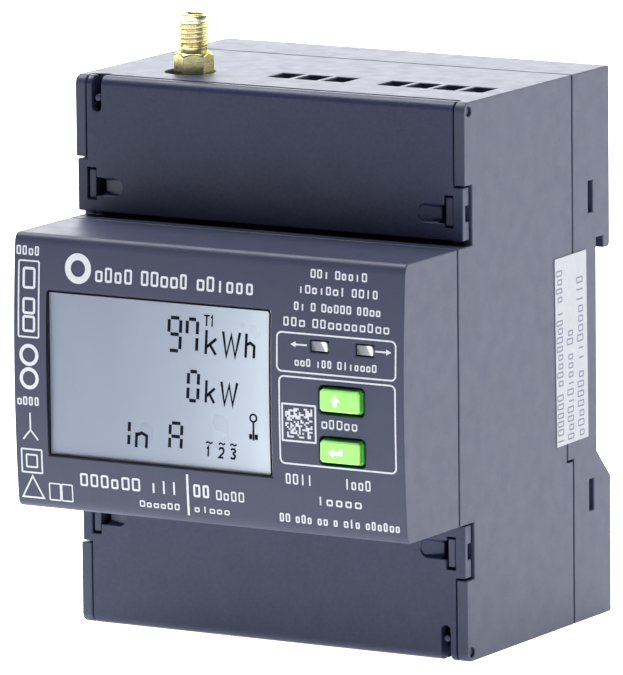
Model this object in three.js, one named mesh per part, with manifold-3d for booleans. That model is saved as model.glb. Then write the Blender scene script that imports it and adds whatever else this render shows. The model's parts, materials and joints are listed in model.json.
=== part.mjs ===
// A four-module smart electric meter for a 35 mm top-hat rail: a three-part housing with a 45 mm
// display nose, two hinged terminal covers, a sprung rail latch, two push buttons, a threaded coaxial
// antenna jack, and the boards, transformers and screw terminals inside.
//
// Frame: +Z up, +X to the right of someone facing the display, the display faces -Y. The origin is at
// the middle of the flat bottom face. Depths are given as "forward" distances, in millimetres from the
// rear plane, and forwardY() turns them into Y.
import * as THREE from "three";
import { mergeVertices } from "three/addons/utils/BufferGeometryUtils.js";
import Module from "manifold-3d";

const wasm = await Module();
wasm.setup();

// Driving dimensions, mm.
const MODULE = 18; // width of one rail module
const WIDTH = 4 * MODULE;
const HEIGHT = 90;
const DEPTH = 68.5; // rear plane to the button faces
const HALF = WIDTH / 2;
const WALL = 2;
const GAP = 0.3; // between two pieces that meet
const RUN = 0.35; // round a moving piece

// Where the three housing parts meet, forward of the rear plane.
const BASE_SEAM = 12.5;
const HOOD_SEAM = 50.1;
const TERMINAL_FACE = 47.8; // front of the side walls and of the closed covers

// The display nose.
const NOSE_BOTTOM = 22.4;
const NOSE_TOP = 67;
const NOSE_MIDDLE = (NOSE_BOTTOM + NOSE_TOP) / 2;
const NOSE_EDGE = 66.8; // front face at the nose's top and bottom edges
const NOSE_BOW = 0.9; // how much further forward its middle is
const NOSE_ROUND = 1.2;

// The rail recess in the rear base, for a 35 mm rail held between the hook and the latch.
const RAIL_SEAT = 4.56;
const RAIL_LOW = 27.3;
const RAIL_HIGH = 62.4;
const HOOK_LIP = 2.2;
const HOOK_TIP = 60.4;
const RAMP_FOOT = 22.6; // the lower edge of the recess slopes out to the rear plane here

// The covers turn on pins near their outer edges. Distances in a cover run from its pin.
const PIVOT_EDGE = 1.5; // pin axis from the top or bottom of the housing
const PIVOT_FORWARD = 46.3;
const PIVOT_LIP = 1; // the outer wall stops this far behind the pin, so the cover can swing
const KNUCKLE = 1.5;
const PIN = 0.7;
const COVER_REACH = 20.6;
const COVER_BACK = 46;
const BAY_SIDE = 34.1; // inner face of the side walls in front of the terminals
const BAY_FLOOR = 42.5; // front of the plate round the terminal blocks
const PLATE = 1.5;

// Cover latches, measured from the pin, and the seal post that shows in the cover's slot.
const EAR_NEAR = 12.1;
const EAR_OUT = 35.65;
const EAR_BACK = 46.9;
const EAR_TAB = 3;
const EAR_NOTCH = 45.4; // the side walls are notched this far back for the ears
const CATCH_NEAR = 13.4;
const CATCH_FAR = 18.7;
const CATCH_IN = 32.2;
const CATCH_OUT = 33.9;
const CATCH_PLAY = 0.2; // beside the catch, where nothing moves
const PRY = { near: 15, far: 18, inner: 27.4, outer: 31.2, shallow: 0.3, deep: 1.3, slope: 0.5 };
const SEAL_X = 32;
const SEAL_FROM_PIN = 2.1;
const SEAL_SLOT = 4.3;
const SEAL_HALF = 0.85; // half the slot's width
const SEAL_NOTCH = 44.4; // the outer wall is notched this far back behind the slot

// Display, buttons and pulse windows on the nose.
const WINDOW = { left: -29.75, right: 11.85, low: 31.3, high: 58.1 };
const BUTTON = { x: 24.75, width: 7.6, height: 3.9, chamfer: 0.45 };
const UP_BUTTON_Z = 44.6;
const ENTER_BUTTON_Z = 36.45;
const PULSE = { width: 3.1, height: 1.8, z: 53, left: 20.75, right: 29 };

// Inside the nose, forward of the rear plane.
const HOOD_INNER = 65.2; // back of the hood's front wall
const LCD_BACK = 62.4;
const LCD_SHOULDER = 64.8; // the panel's wider part ends here, behind the hood's front wall
const LCD_FACE = 66.9; // its front glass stands in the window opening
const WINDOW_GAP = 0.13; // round the front glass and the window
const SWITCH_FRONT = 60.6;
const SWITCH_WELL = 58.7;
const PLUNGER_TIP = 61.3;
const PULSE_LIGHT_FRONT = 59.2;
const BUTTON_FLANGE = [63.4, 64.5];

// Boards, forward of the rear plane.
const METER_BOARD = 26;
const DISPLAY_BOARD = 56;
const BOARD = 1.5;
const METER_BOARD_FRONT = METER_BOARD + BOARD + GAP; // where a piece standing on it starts
const DISPLAY_BOARD_FRONT = DISPLAY_BOARD + BOARD + GAP;
const BOARD_HALF = 33;

// Terminals: the signal blocks at the top have three and four ways, the mains block has ten.
const SIGNAL_PITCH = 5.08;
const MAINS_PITCH = 6;
const MAINS_WAYS = 10;
const SIGNAL_BLOCKS = [
  { ways: 3, x: 0.2 },
  { ways: 4, x: 23.05 },
];
const BLOCK_FRONT = 43;
const ENTRY = { near: 31, far: 36.2, width: 4 };
const SIGNAL_SCREW_Z = 78.5;
const MAINS_SCREW_Z = 11.5;
const SCREW_SEAT = 38.4;
const SCREW = { head: 1.8, headHeight: 2.4, shank: 1.15, shankLength: 3, well: 2.15, hole: 1.4 };
const SCREW_SLOT = { depth: 0.9, half: 0.35 };

// Antenna jack on the top face.
const JACK_X = -20.5;
const JACK_FORWARD = 36.3;
const JACK_TOP = 99.5;
const JACK_HOLE = { radius: 4.15, offset: -0.75 }; // the jack stands off the middle of its hole
const JACK_HEX = { radius: 3.25, middle: 90.5, height: 5.4 };
const JACK_BARREL = { root: 2.15, crest: 2.44, bore: 1.55, height: 6.6, collar: 2.35, turns: 4 };
const JACK_MOUTH = { neck: 1.4, rim: 0.5, chamfer: 0.15 }; // plain end of the barrel, from its top

const meter = new THREE.Group();

// ---- Helpers -------------------------------------------------------------------------------------

const forwardY = (forward) => DEPTH / 2 - forward;

/** The Manifold solid of a closed three.js geometry. */
function solid(geometry) {
  const bare = geometry.clone();
  bare.deleteAttribute("normal");
  bare.deleteAttribute("uv");
  const merged = mergeVertices(bare, 1e-4);
  return new wasm.Manifold(
    new wasm.Mesh({
      numProp: 3,
      vertProperties: merged.attributes.position.array,
      triVerts: new Uint32Array(merged.index.array),
    }),
  );
}

/** The three.js geometry of a Manifold solid. */
function geometryOf(made) {
  const mesh = made.getMesh();
  const geometry = new THREE.BufferGeometry();
  geometry.setAttribute("position", new THREE.BufferAttribute(mesh.vertProperties, 3));
  geometry.setIndex(new THREE.BufferAttribute(mesh.triVerts, 1));
  geometry.computeVertexNormals();
  return geometry;
}

const join = (first, ...others) => others.reduce((sum, other) => sum.add(other), first);
const cut = (first, ...others) => others.reduce((rest, other) => rest.subtract(other), first);

/** A block between two X, two forward and two Z values. */
function block(x0, x1, forward0, forward1, z0, z1) {
  const box = new THREE.BoxGeometry(x1 - x0, forward1 - forward0, z1 - z0);
  box.translate((x0 + x1) / 2, forwardY((forward0 + forward1) / 2), (z0 + z1) / 2);
  return solid(box);
}

/** The same block on both sides of the X = 0 plane. */
const blockPair = (x0, x1, ...rest) => [block(x0, x1, ...rest), block(-x1, -x0, ...rest)];

/** A closed outline of [forward, z] points, drawn out along X. */
function sideProfile(points, x0, x1) {
  const shape = new THREE.Shape(points.map(([forward, z]) => new THREE.Vector2(forwardY(forward), z)));
  const drawn = new THREE.ExtrudeGeometry(shape, { depth: x1 - x0, bevelEnabled: false });
  const turn = new THREE.Matrix4().makeBasis(
    new THREE.Vector3(0, 1, 0),
    new THREE.Vector3(0, 0, 1),
    new THREE.Vector3(1, 0, 0),
  );
  return solid(drawn.applyMatrix4(turn).translate(x0, 0, 0));
}

/** A closed outline of [x, z] points, drawn out forwards. */
function frontProfile(points, forward0, forward1) {
  const shape = new THREE.Shape(points.map(([x, z]) => new THREE.Vector2(x, z)));
  const drawn = new THREE.ExtrudeGeometry(shape, { depth: forward1 - forward0, bevelEnabled: false });
  return solid(drawn.rotateX(Math.PI / 2).translate(0, forwardY(forward0), 0));
}

/** A round bar along "x", "y" or "z" whose ends are at two places on that axis. */
function bar(axis, radius, start, end, centre, sides = 12) {
  const round = new THREE.CylinderGeometry(radius, radius, Math.abs(end - start), sides);
  if (axis === "x") round.rotateZ(Math.PI / 2);
  if (axis === "z") round.rotateX(Math.PI / 2);
  const [x, y, z] = centre;
  const middle = (start + end) / 2;
  if (axis === "x") round.translate(middle, y, z);
  if (axis === "y") round.translate(x, middle, z);
  if (axis === "z") round.translate(x, y, middle);
  return solid(round);
}

/** A round bar along the forward direction. */
const forwardBar = (radius, forward0, forward1, x, z, sides) =>
  bar("y", radius, forwardY(forward0), forwardY(forward1), [x, 0, z], sides);

/** Points of an arc in the [forward, z] plane, from one angle to another in degrees. */
function arc(forward, z, radius, from, to, steps = 4) {
  return Array.from({ length: steps + 1 }, (_, i) => {
    const angle = THREE.MathUtils.degToRad(from + ((to - from) * i) / steps);
    return [forward + radius * Math.cos(angle), z + radius * Math.sin(angle)];
  });
}

/** A rectangle in X and Z with its corners cut off. */
function clippedRectangle(x, z, width, height, clip) {
  const [a, b] = [width / 2, height / 2];
  return [
    [x - a + clip, z - b],
    [x + a - clip, z - b],
    [x + a, z - b + clip],
    [x + a, z + b - clip],
    [x + a - clip, z + b],
    [x - a + clip, z + b],
    [x - a, z + b - clip],
    [x - a, z - b + clip],
  ];
}

/** Adds one named mesh to a group. */
function add(name, made, material, group = meter) {
  const mesh = new THREE.Mesh(geometryOf(made), material.clone());
  mesh.name = name;
  group.add(mesh);
  return mesh;
}

// ---- Materials -----------------------------------------------------------------------------------

const finish = (color, roughness, metalness = 0) =>
  new THREE.MeshStandardMaterial({ color, roughness, metalness });

const HOUSING = finish(0x3f4358, 0.55);
const COVER = finish(0x3a3e52, 0.5);
const BLOCK_PLASTIC = finish(0x2c2f3c, 0.6);
const BUTTON_GREEN = finish(0x8fe35a, 0.35);
const PRINTED_BOARD = finish(0x1f5a3c, 0.5);
const STEEL = finish(0xb9bcc2, 0.3, 1);
const GOLD = finish(0xd7bd6a, 0.25, 1);
const COPPER = finish(0xb8713a, 0.35, 1);
const PALE = finish(0xe6e8ee, 0.7);
const LCD_GLASS = finish(0xb4bdcc, 0.2);
const CLEAR = finish(0xdfe6ee, 0.05);
const BLACK_PLASTIC = finish(0x16171c, 0.5);
CLEAR.transparent = true;
CLEAR.opacity = 0.35;

// ---- Housing -------------------------------------------------------------------------------------

/** How far forward the bowed front of the nose is at a height. */
function noseFront(z) {
  const halfChord = NOSE_TOP - NOSE_MIDDLE;
  return NOSE_EDGE + NOSE_BOW * (1 - ((z - NOSE_MIDDLE) / halfChord) ** 2);
}

/** Points up the bowed front of the nose between two heights. */
function bowPoints(z0, z1, steps = 6, offset = 0) {
  return Array.from({ length: steps + 1 }, (_, i) => {
    const z = z0 + ((z1 - z0) * i) / steps;
    return [noseFront(z) + offset, z];
  });
}

const SNAP = { near: 5.7, far: 7.2, height: 5.2, low: 17.8, high: 66.8 };
const INTERLOCK = { low: 27.2, high: 59, forward: 14.4 };
const LATCH = { half: 7.6, wideHalf: 9.6, back: 0.4, shoulder: 1.8, front: 3.7, foot: 0.5 };
const LATCH_SHOULDER_TOP = 22.1;
const SPRING_STUB_TOP = 11.7;

/** The rear part of the housing, with the rail recess, the fixed hook and the latch channel. */
function rearBase() {
  const front = BASE_SEAM - GAP / 2;
  const outline = [
    [0, 0],
    [front, 0],
    [front, HEIGHT],
    [0, HEIGHT],
    [0, HOOK_TIP + 0.7],
    ...arc(0.7, HOOK_TIP + 0.7, 0.7, 180, 270, 3),
    [HOOK_LIP, HOOK_TIP],
    [HOOK_LIP, RAIL_HIGH],
    [RAIL_SEAT, RAIL_HIGH],
    [RAIL_SEAT, RAIL_LOW],
    [0, RAMP_FOOT],
  ];
  // Forward runs towards -Y, so the outline is turned round to stay anticlockwise.
  const body = sideProfile(outline.slice().reverse(), -HALF, HALF);
  const inside = HALF - WALL;
  const past = BASE_SEAM + 1;
  const hollows = [
    block(-inside, inside, WALL + 0.2, past, RAIL_HIGH + WALL, HEIGHT - WALL),
    block(-inside, inside, RAIL_SEAT + WALL, past, 25, RAIL_HIGH + WALL + 0.1),
    block(-inside, inside, RAIL_SEAT + 1.1, past, 20, 25.2),
    ...blockPair(12.5, inside, WALL + 0.2, past, WALL, 20.5),
    block(-12.6, 12.6, RAIL_SEAT + 1.4, past, WALL, 20.5),
  ];
  const wideHalf = LATCH.wideHalf + GAP;
  const narrowHalf = LATCH.half + GAP;
  const floor = LATCH.front + GAP;
  const channel = [
    block(-wideHalf, wideHalf, LATCH.shoulder - 0.2, floor, -1, LATCH_SHOULDER_TOP + GAP),
    block(-narrowHalf, narrowHalf, -1, floor, -1, RAIL_LOW + 1),
  ];
  const slots = [SNAP.low, SNAP.high].flatMap((z) =>
    blockPair(inside - 0.1, HALF + 1, SNAP.near, SNAP.far, z, z + SNAP.height),
  );
  const tabs = blockPair(inside + 0.2, HALF, front - 0.1, INTERLOCK.forward, INTERLOCK.low, INTERLOCK.high);
  const stub = block(-1.5, 1.5, 0.9, floor + 0.5, SPRING_STUB_TOP - 1.3, SPRING_STUB_TOP);
  return join(cut(body, ...hollows, ...channel, ...slots), ...tabs, stub);
}

/** Hooked tongues of the main housing that snap into the slots of the rear base. */
function snapTongues() {
  const inner = HALF - WALL - GAP;
  return [SNAP.low, SNAP.high].flatMap((low) => {
    const z0 = low + 0.3;
    const z1 = low + SNAP.height - 0.3;
    return [
      ...blockPair(inner - 1.3, inner + 0.8, BASE_SEAM + GAP, 16, z0, z1),
      ...blockPair(inner - 1.3, inner, SNAP.near + 0.2, BASE_SEAM + 0.5, z0, z1),
      ...blockPair(inner - 0.1, inner + 1.5, SNAP.near + 0.2, SNAP.far - 0.2, z0, z1),
    ];
  });
}

/** The two terminal bays as their own frames: at the top, Z runs down from the pin, and at the
 * bottom it runs up. */
const BAYS = [
  { name: "upper", side: 1, pivot: HEIGHT - PIVOT_EDGE },
  { name: "lower", side: -1, pivot: PIVOT_EDGE },
];

/** Z at a distance from a bay's pin, towards the nose. */
const inBay = (bay, distance) => bay.pivot - bay.side * distance;

/** A block given by distances from a bay's pin in place of Z. */
function bayBlock(bay, x0, x1, forward0, forward1, near, far) {
  const z = [inBay(bay, near), inBay(bay, far)];
  return block(x0, x1, forward0, forward1, Math.min(...z), Math.max(...z));
}

/** Everything cut from the main housing round one terminal bay. */
function bayCuts(bay) {
  const noseGap = bay.side > 0 ? bay.pivot - NOSE_TOP : NOSE_BOTTOM - bay.pivot;
  const ceiling = PIVOT_EDGE - WALL; // distance of the outer wall's inside face from the pin
  const past = TERMINAL_FACE + 3;
  const lipFront = PIVOT_FORWARD - PIVOT_LIP;
  const pin = [0, forwardY(PIVOT_FORWARD), bay.pivot];
  const sealX = -bay.side * SEAL_X;
  const cuts = [
    bayBlock(bay, -BAY_SIDE, BAY_SIDE, BAY_FLOOR, past, -ceiling, noseGap),
    bayBlock(bay, -BAY_SIDE, BAY_SIDE, lipFront, past, -PIVOT_EDGE - 1, 2),
    bar("x", KNUCKLE + GAP, -BAY_SIDE, BAY_SIDE, pin, 24),
    bayBlock(bay, -HALF + WALL, HALF - WALL, METER_BOARD + 2, BAY_FLOOR - PLATE, -ceiling, noseGap),
    bar("x", PIN + 0.12, -HALF - 1, HALF + 1, pin, 12),
    bayBlock(bay, sealX - SEAL_HALF, sealX + SEAL_HALF, SEAL_NOTCH, past, -PIVOT_EDGE - 1, 2),
  ];
  for (const side of [-1, 1]) {
    const [x0, x1] = side > 0 ? [BAY_SIDE - 0.1, HALF + 1] : [-HALF - 1, -BAY_SIDE + 0.1];
    cuts.push(bayBlock(bay, x0, x1, EAR_NOTCH, past, EAR_NEAR - GAP, noseGap));
  }
  return cuts;
}

/** Catch posts for the cover's two latches, and the post that a seal wire goes through. A catch stands
 * on the nose behind the cover, and its tip shows in the cover's window. */
function bayPosts(bay) {
  const [x0, x1] = [CATCH_IN + CATCH_PLAY, CATCH_OUT - CATCH_PLAY];
  const nose = bay.side > 0 ? bay.pivot - NOSE_TOP : NOSE_BOTTOM - bay.pivot;
  const near = CATCH_NEAR + RUN;
  const posts = [x0, -x1].flatMap((left) => {
    const right = left + x1 - x0;
    return [
      bayBlock(bay, left, right, BLOCK_FRONT + GAP, COVER_BACK - GAP, near, nose + 0.5),
      bayBlock(bay, left, right, COVER_BACK - 1, TERMINAL_FACE - 0.3, near, CATCH_FAR - RUN),
    ];
  });
  const x = -bay.side * SEAL_X;
  const z = inBay(bay, SEAL_FROM_PIN);
  const post = forwardBar(0.6, BAY_FLOOR - 0.5, TERMINAL_FACE - 0.4, x, z, 10);
  const wireHole = bar("x", 0.25, x - 2, x + 2, [x, forwardY(TERMINAL_FACE - 1.2), z], 6);
  return [...posts, post.subtract(wireHole)];
}

const blockTop = HEIGHT - WALL - GAP;
const signalWays = SIGNAL_BLOCKS.flatMap(({ ways, x }) =>
  Array.from({ length: ways }, (_, i) => x + (i - (ways - 1) / 2) * SIGNAL_PITCH),
);
const mainsWays = Array.from(
  { length: MAINS_WAYS },
  (_, i) => (i - (MAINS_WAYS - 1) / 2) * MAINS_PITCH,
);

/** Wire entries through the top or bottom wall. */
const entrySlots = (ways, z0, z1) =>
  ways.map((x) => block(x - ENTRY.width / 2, x + ENTRY.width / 2, ENTRY.near, ENTRY.far, z0, z1));

/** The deep middle part of the housing. */
function mainHousing() {
  const rear = BASE_SEAM + GAP / 2;
  const seam = HOOD_SEAM - GAP / 2;
  const corner = PIVOT_EDGE;
  const outline = [
    [rear, 0],
    ...arc(TERMINAL_FACE - corner, corner, corner, 270, 360),
    [TERMINAL_FACE, NOSE_BOTTOM],
    [seam, NOSE_BOTTOM],
    [seam, NOSE_TOP],
    [TERMINAL_FACE, NOSE_TOP],
    ...arc(TERMINAL_FACE - corner, HEIGHT - corner, corner, 0, 90),
    [rear, HEIGHT],
  ];
  const body = sideProfile(outline.slice().reverse(), -HALF, HALF);
  const inside = HALF - WALL;
  const notch = [INTERLOCK.forward + GAP, INTERLOCK.low - GAP, INTERLOCK.high + GAP];
  const mainsHalf = (MAINS_WAYS * MAINS_PITCH) / 2 + GAP;
  const jackHoleCentre = [JACK_X + JACK_HOLE.offset, forwardY(JACK_FORWARD), 0];
  const cuts = [
    block(-inside, inside, rear - 1, METER_BOARD + 2.1, WALL, HEIGHT - WALL),
    block(-inside, inside, METER_BOARD, HOOD_SEAM + 1, NOSE_BOTTOM + WALL, NOSE_TOP - WALL),
    ...blockPair(inside - 0.1, HALF + 1, rear - 1, ...notch),
    ...BAYS.flatMap(bayCuts),
    ...SIGNAL_BLOCKS.map(({ ways, x }) => {
      const half = (ways * SIGNAL_PITCH) / 2 + GAP;
      return block(x - half, x + half, BAY_FLOOR - PLATE - 1, BAY_FLOOR + 1, NOSE_TOP + 0.7, HEIGHT - WALL);
    }),
    block(-mainsHalf, mainsHalf, BAY_FLOOR - PLATE - 1, BAY_FLOOR + 1, WALL, NOSE_BOTTOM - 0.7),
    ...entrySlots(signalWays, HEIGHT - WALL - 1, HEIGHT + 1),
    ...entrySlots(mainsWays, -1, WALL + 1),
    bar("z", JACK_HOLE.radius, HEIGHT - WALL - 1, HEIGHT + 1, jackHoleCentre, 20),
  ];
  return join(cut(body, ...cuts), ...snapTongues(), ...BAYS.flatMap(bayPosts));
}

/** The nose that carries the display, buttons and pulse windows. */
function frontHood() {
  const rear = HOOD_SEAM + GAP / 2;
  const tangent = NOSE_EDGE - NOSE_ROUND;
  const outline = [
    [rear, NOSE_BOTTOM],
    ...arc(tangent, NOSE_BOTTOM + NOSE_ROUND, NOSE_ROUND, 270, 350, 4),
    ...bowPoints(NOSE_BOTTOM + NOSE_ROUND + 0.6, NOSE_TOP - NOSE_ROUND - 0.6, 8),
    ...arc(tangent, NOSE_TOP - NOSE_ROUND, NOSE_ROUND, 10, 90, 4),
    [rear, NOSE_TOP],
  ];
  const body = sideProfile(outline.slice().reverse(), -HALF, HALF);
  const inside = HALF - WALL;
  const lip = HALF - WALL - GAP;
  const [low, high] = [NOSE_BOTTOM + WALL, NOSE_TOP - WALL];
  const rim = cut(
    block(-lip, lip, rear - 1.6, rear + 1, low + GAP, high - GAP),
    block(-lip + 1.2, lip - 1.2, rear - 2, rear + 2, low + GAP + 1.2, high - GAP - 1.2),
  );
  const hollow = cut(
    block(-inside, inside, rear - 1, HOOD_INNER, low, high),
    block(-HALF, -lip + 1.2, rear - 2, rear + 1, 0, HEIGHT),
    block(lip - 1.2, HALF, rear - 2, rear + 1, 0, HEIGHT),
    block(-HALF, HALF, rear - 2, rear + 1, 0, low + GAP + 1.2),
    block(-HALF, HALF, rear - 2, rear + 1, high - GAP - 1.2, HEIGHT),
  );
  const holes = [
    block(WINDOW.left, WINDOW.right, HOOD_INNER - 1, DEPTH + 1, WINDOW.low, WINDOW.high),
    ...[UP_BUTTON_Z, ENTER_BUTTON_Z].map((z) => buttonOutline(z, RUN, HOOD_INNER - 1, DEPTH + 1)),
    ...[PULSE.left, PULSE.right].map((x) => pulseBlock(x, 0.1, HOOD_INNER - 1, DEPTH + 1)),
  ];
  return cut(join(body, rim), hollow, ...holes);
}

// ---- Covers --------------------------------------------------------------------------------------

/** One terminal cover about its own pin: +X and forward as in the meter, and Z from the pin, so the
 * cover hangs down from it. The lower cover is the same piece turned half round. */
function terminalCover() {
  const y = forwardY(PIVOT_FORWARD);
  const width = BAY_SIDE - 0.2;
  const [behind, before] = [COVER_BACK - 2, TERMINAL_FACE + 1];
  const plate = block(-width, width, COVER_BACK, TERMINAL_FACE, -COVER_REACH, 0);
  const knuckle = bar("x", KNUCKLE, -width, width, [0, y, 0], 24);
  const pin = bar("x", PIN, -EAR_OUT, EAR_OUT, [0, y, 0], 12);
  const ears = blockPair(width - 0.5, EAR_OUT, EAR_BACK, TERMINAL_FACE, -COVER_REACH, -EAR_NEAR);
  const tabs = [-COVER_REACH, -EAR_NEAR - EAR_TAB].flatMap((z) =>
    blockPair(BAY_SIDE + GAP, EAR_OUT, COVER_BACK - 0.2, TERMINAL_FACE, z, z + EAR_TAB),
  );
  const stiffeners = [-22, -2, 18].map((x) => block(x, x + 1, COVER_BACK - 1, COVER_BACK + 0.2, -17, -4));
  const windows = blockPair(CATCH_IN, CATCH_OUT, behind, before, -CATCH_FAR, -CATCH_NEAR);
  const pryHoles = blockPair(PRY.outer - 0.05, CATCH_IN + 0.1, behind, before, -PRY.far, -PRY.near);
  const slotEndZ = SEAL_HALF - SEAL_SLOT;
  const slot = block(-SEAL_X - SEAL_HALF, -SEAL_X + SEAL_HALF, behind, before, slotEndZ, PIVOT_EDGE + 1);
  const slotEnd = forwardBar(SEAL_HALF, behind, before, -SEAL_X, slotEndZ, 16);
  const body = join(plate, knuckle, ...ears, ...tabs, ...stiffeners);
  const opened = cut(body, ...windows, ...pryHoles, slot, slotEnd, pryScoop(-1), pryScoop(1));
  return join(opened, cut(pin, slot));
}

/** The finger recess beside a latch, as the solid that is cut away. Its floor slopes down towards the
 * catch, its long sides slope too, and its far end is round. */
function pryScoop(side) {
  const { near, far, inner, outer, shallow, deep, slope } = PRY;
  const above = TERMINAL_FACE + 1;
  const floor = new THREE.Shape(
    [
      [inner, TERMINAL_FACE - shallow],
      [outer, TERMINAL_FACE - deep],
      [outer, above],
      [inner, above],
    ].map(([x, forward]) => new THREE.Vector2(x, forwardY(forward))),
  );
  const ramp = new THREE.ExtrudeGeometry(floor, { depth: far - near + 4, bevelEnabled: false });
  const inset = slope * deep;
  const section = [
    [TERMINAL_FACE - deep, -near - inset],
    [TERMINAL_FACE, -near],
    [above, -near],
    [above, -far],
    [TERMINAL_FACE, -far],
    [TERMINAL_FACE - deep, -far + inset],
  ];
  const round = (far - near) / 2;
  const end = arc(inner + round, -(near + far) / 2, round, 90, 270, 8);
  const outline = [[outer, -near], ...end, [outer, -far]];
  const made = solid(ramp.translate(0, 0, -far - 2))
    .intersect(sideProfile(section, inner - 1, outer))
    .intersect(frontProfile(outline, COVER_BACK, above));
  return side > 0 ? made : made.mirror([1, 0, 0]);
}

/** Puts a cover's solid at a bay's pin, turned half round about the forward axis at the bottom. */
function placeCover(bay, made, material) {
  const holder = new THREE.Group();
  holder.position.z = bay.pivot;
  if (bay.side < 0) holder.rotation.y = Math.PI;
  meter.add(holder);
  add(bay.name + "_terminal_cover", made, material, holder);
}

// ---- Display, buttons and lights -----------------------------------------------------------------

/** The clipped outline of a button, grown by a margin. */
function buttonOutline(z, margin, forward0, forward1) {
  const { x, width, height, chamfer } = BUTTON;
  const outline = clippedRectangle(x, z, width + 2 * margin, height + 2 * margin, chamfer);
  return frontProfile(outline, forward0, forward1);
}

/** A push button: face, flange behind the hood, and stem down to the switch. */
function pushButton(z) {
  return join(
    buttonOutline(z, 0, BUTTON_FLANGE[0], DEPTH),
    buttonOutline(z, 0.9, ...BUTTON_FLANGE),
    block(BUTTON.x - 1.5, BUTTON.x + 1.5, PLUNGER_TIP + 0.1, BUTTON_FLANGE[1], z - 1, z + 1),
  );
}

/** A switch case on the display board, with a round well for its plunger. */
function switchCase(z) {
  const half = 2.3;
  return cut(
    block(BUTTON.x - half, BUTTON.x + half, DISPLAY_BOARD_FRONT, SWITCH_FRONT, z - half, z + half),
    forwardBar(1.25, SWITCH_WELL, SWITCH_FRONT + 1, BUTTON.x, z, 12),
  );
}

const pulseBlock = (x, margin, forward0, forward1) =>
  block(
    x - PULSE.width / 2 - margin,
    x + PULSE.width / 2 + margin,
    forward0,
    forward1,
    PULSE.z - PULSE.height / 2 - margin,
    PULSE.z + PULSE.height / 2 + margin,
  );

/** The clear light guide between a pulse light and the hood's front, with a flange behind the hood. */
const pulseWindow = (x) =>
  join(
    pulseBlock(x, -0.1, PULSE_LIGHT_FRONT + 0.4, noseFront(PULSE.z) - 0.05),
    pulseBlock(x, 0.6, HOOD_INNER - 1.6, HOOD_INNER - GAP),
  );

const pulseLight = (x) =>
  block(x - 1.2, x + 1.2, DISPLAY_BOARD_FRONT, PULSE_LIGHT_FRONT, PULSE.z - 0.7, PULSE.z + 0.7);

/** The bowed clear window over the display. */
function displayWindow() {
  const [low, high] = [WINDOW.low + WINDOW_GAP, WINDOW.high - WINDOW_GAP];
  const back = LCD_FACE + WINDOW_GAP;
  const outline = [[back, low], ...bowPoints(low, high, 6, -0.05), [back, high]];
  return sideProfile(outline.slice().reverse(), WINDOW.left + WINDOW_GAP, WINDOW.right - WINDOW_GAP);
}

const LCD = {
  left: WINDOW.left - 2.4,
  right: WINDOW.right + 2.2,
  low: WINDOW.low - 2.4,
  high: WINDOW.high + 2.4,
};

/** A block behind the display window, grown by a margin. */
const lcdBlock = (margin, forward0, forward1) =>
  block(
    LCD.left - margin,
    LCD.right + margin,
    forward0,
    forward1,
    LCD.low - margin,
    LCD.high + margin,
  );

/** The liquid-crystal panel, whose front glass stands in the hood's window opening. */
const lcdPanel = () =>
  join(
    lcdBlock(0, LCD_BACK, LCD_SHOULDER),
    block(
      WINDOW.left + WINDOW_GAP,
      WINDOW.right - WINDOW_GAP,
      LCD_BACK,
      LCD_FACE,
      WINDOW.low + WINDOW_GAP,
      WINDOW.high - WINDOW_GAP,
    ),
  );

/** The open frame round the panel and its backlight. */
const displayCarrier = () =>
  cut(lcdBlock(1.1, DISPLAY_BOARD_FRONT, HOOD_INNER - GAP), lcdBlock(GAP, DISPLAY_BOARD, DEPTH));

// ---- Terminals -----------------------------------------------------------------------------------

/** A terminal block: a wire entry in its outer face and a screw well in its front for each way. */
function terminalBlock(ways, pitch, z0, z1, outerZ, screwZ) {
  const half = pitch / 2;
  const body = block(
    ways[0] - half + 0.02,
    ways[ways.length - 1] + half - 0.02,
    METER_BOARD_FRONT,
    BLOCK_FRONT,
    z0,
    z1,
  );
  const inner = screwZ + Math.sign(screwZ - outerZ) * 3;
  const [entryLow, entryHigh] = [Math.min(inner, outerZ), Math.max(inner, outerZ)];
  const holes = ways.flatMap((x) => [
    block(x - 1.7, x + 1.7, ENTRY.near + 0.3, ENTRY.far - 0.3, entryLow, entryHigh),
    forwardBar(SCREW.well, SCREW_SEAT - 0.2, BLOCK_FRONT + 1, x, screwZ, 12),
    forwardBar(SCREW.hole, ENTRY.far - 1, SCREW_SEAT, x, screwZ, 8),
  ]);
  return cut(body, ...holes);
}

/** A clamping screw with a slotted head. Its axis is Y, its seat is at the origin and its head is
 * towards -Y. */
function clampingScrew() {
  const { head, headHeight, shank, shankLength } = SCREW;
  const axis = [0, 0, 0];
  const slotAxis = DEPTH / 2 + headHeight; // the head's face as a forward distance
  const slot = (halfLength, halfWidth) =>
    block(-halfLength, halfLength, slotAxis - SCREW_SLOT.depth, slotAxis + 1, -halfWidth, halfWidth);
  return cut(
    join(bar("y", head, 0, -headHeight, axis, 14), bar("y", shank, shankLength, -0.5, axis, 8)),
    slot(head + 1, SCREW_SLOT.half),
    slot(SCREW_SLOT.half, head - 0.6),
  );
}

/** Sets one screw in each way of a block. */
function placeScrews(prefix, ways, z) {
  const made = clampingScrew();
  ways.forEach((x, i) => {
    const holder = new THREE.Group();
    holder.position.set(x, forwardY(SCREW_SEAT), z);
    meter.add(holder);
    add(prefix + "_screw_" + (i + 1), made, STEEL, holder);
  });
}

// ---- Antenna -------------------------------------------------------------------------------------

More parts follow.
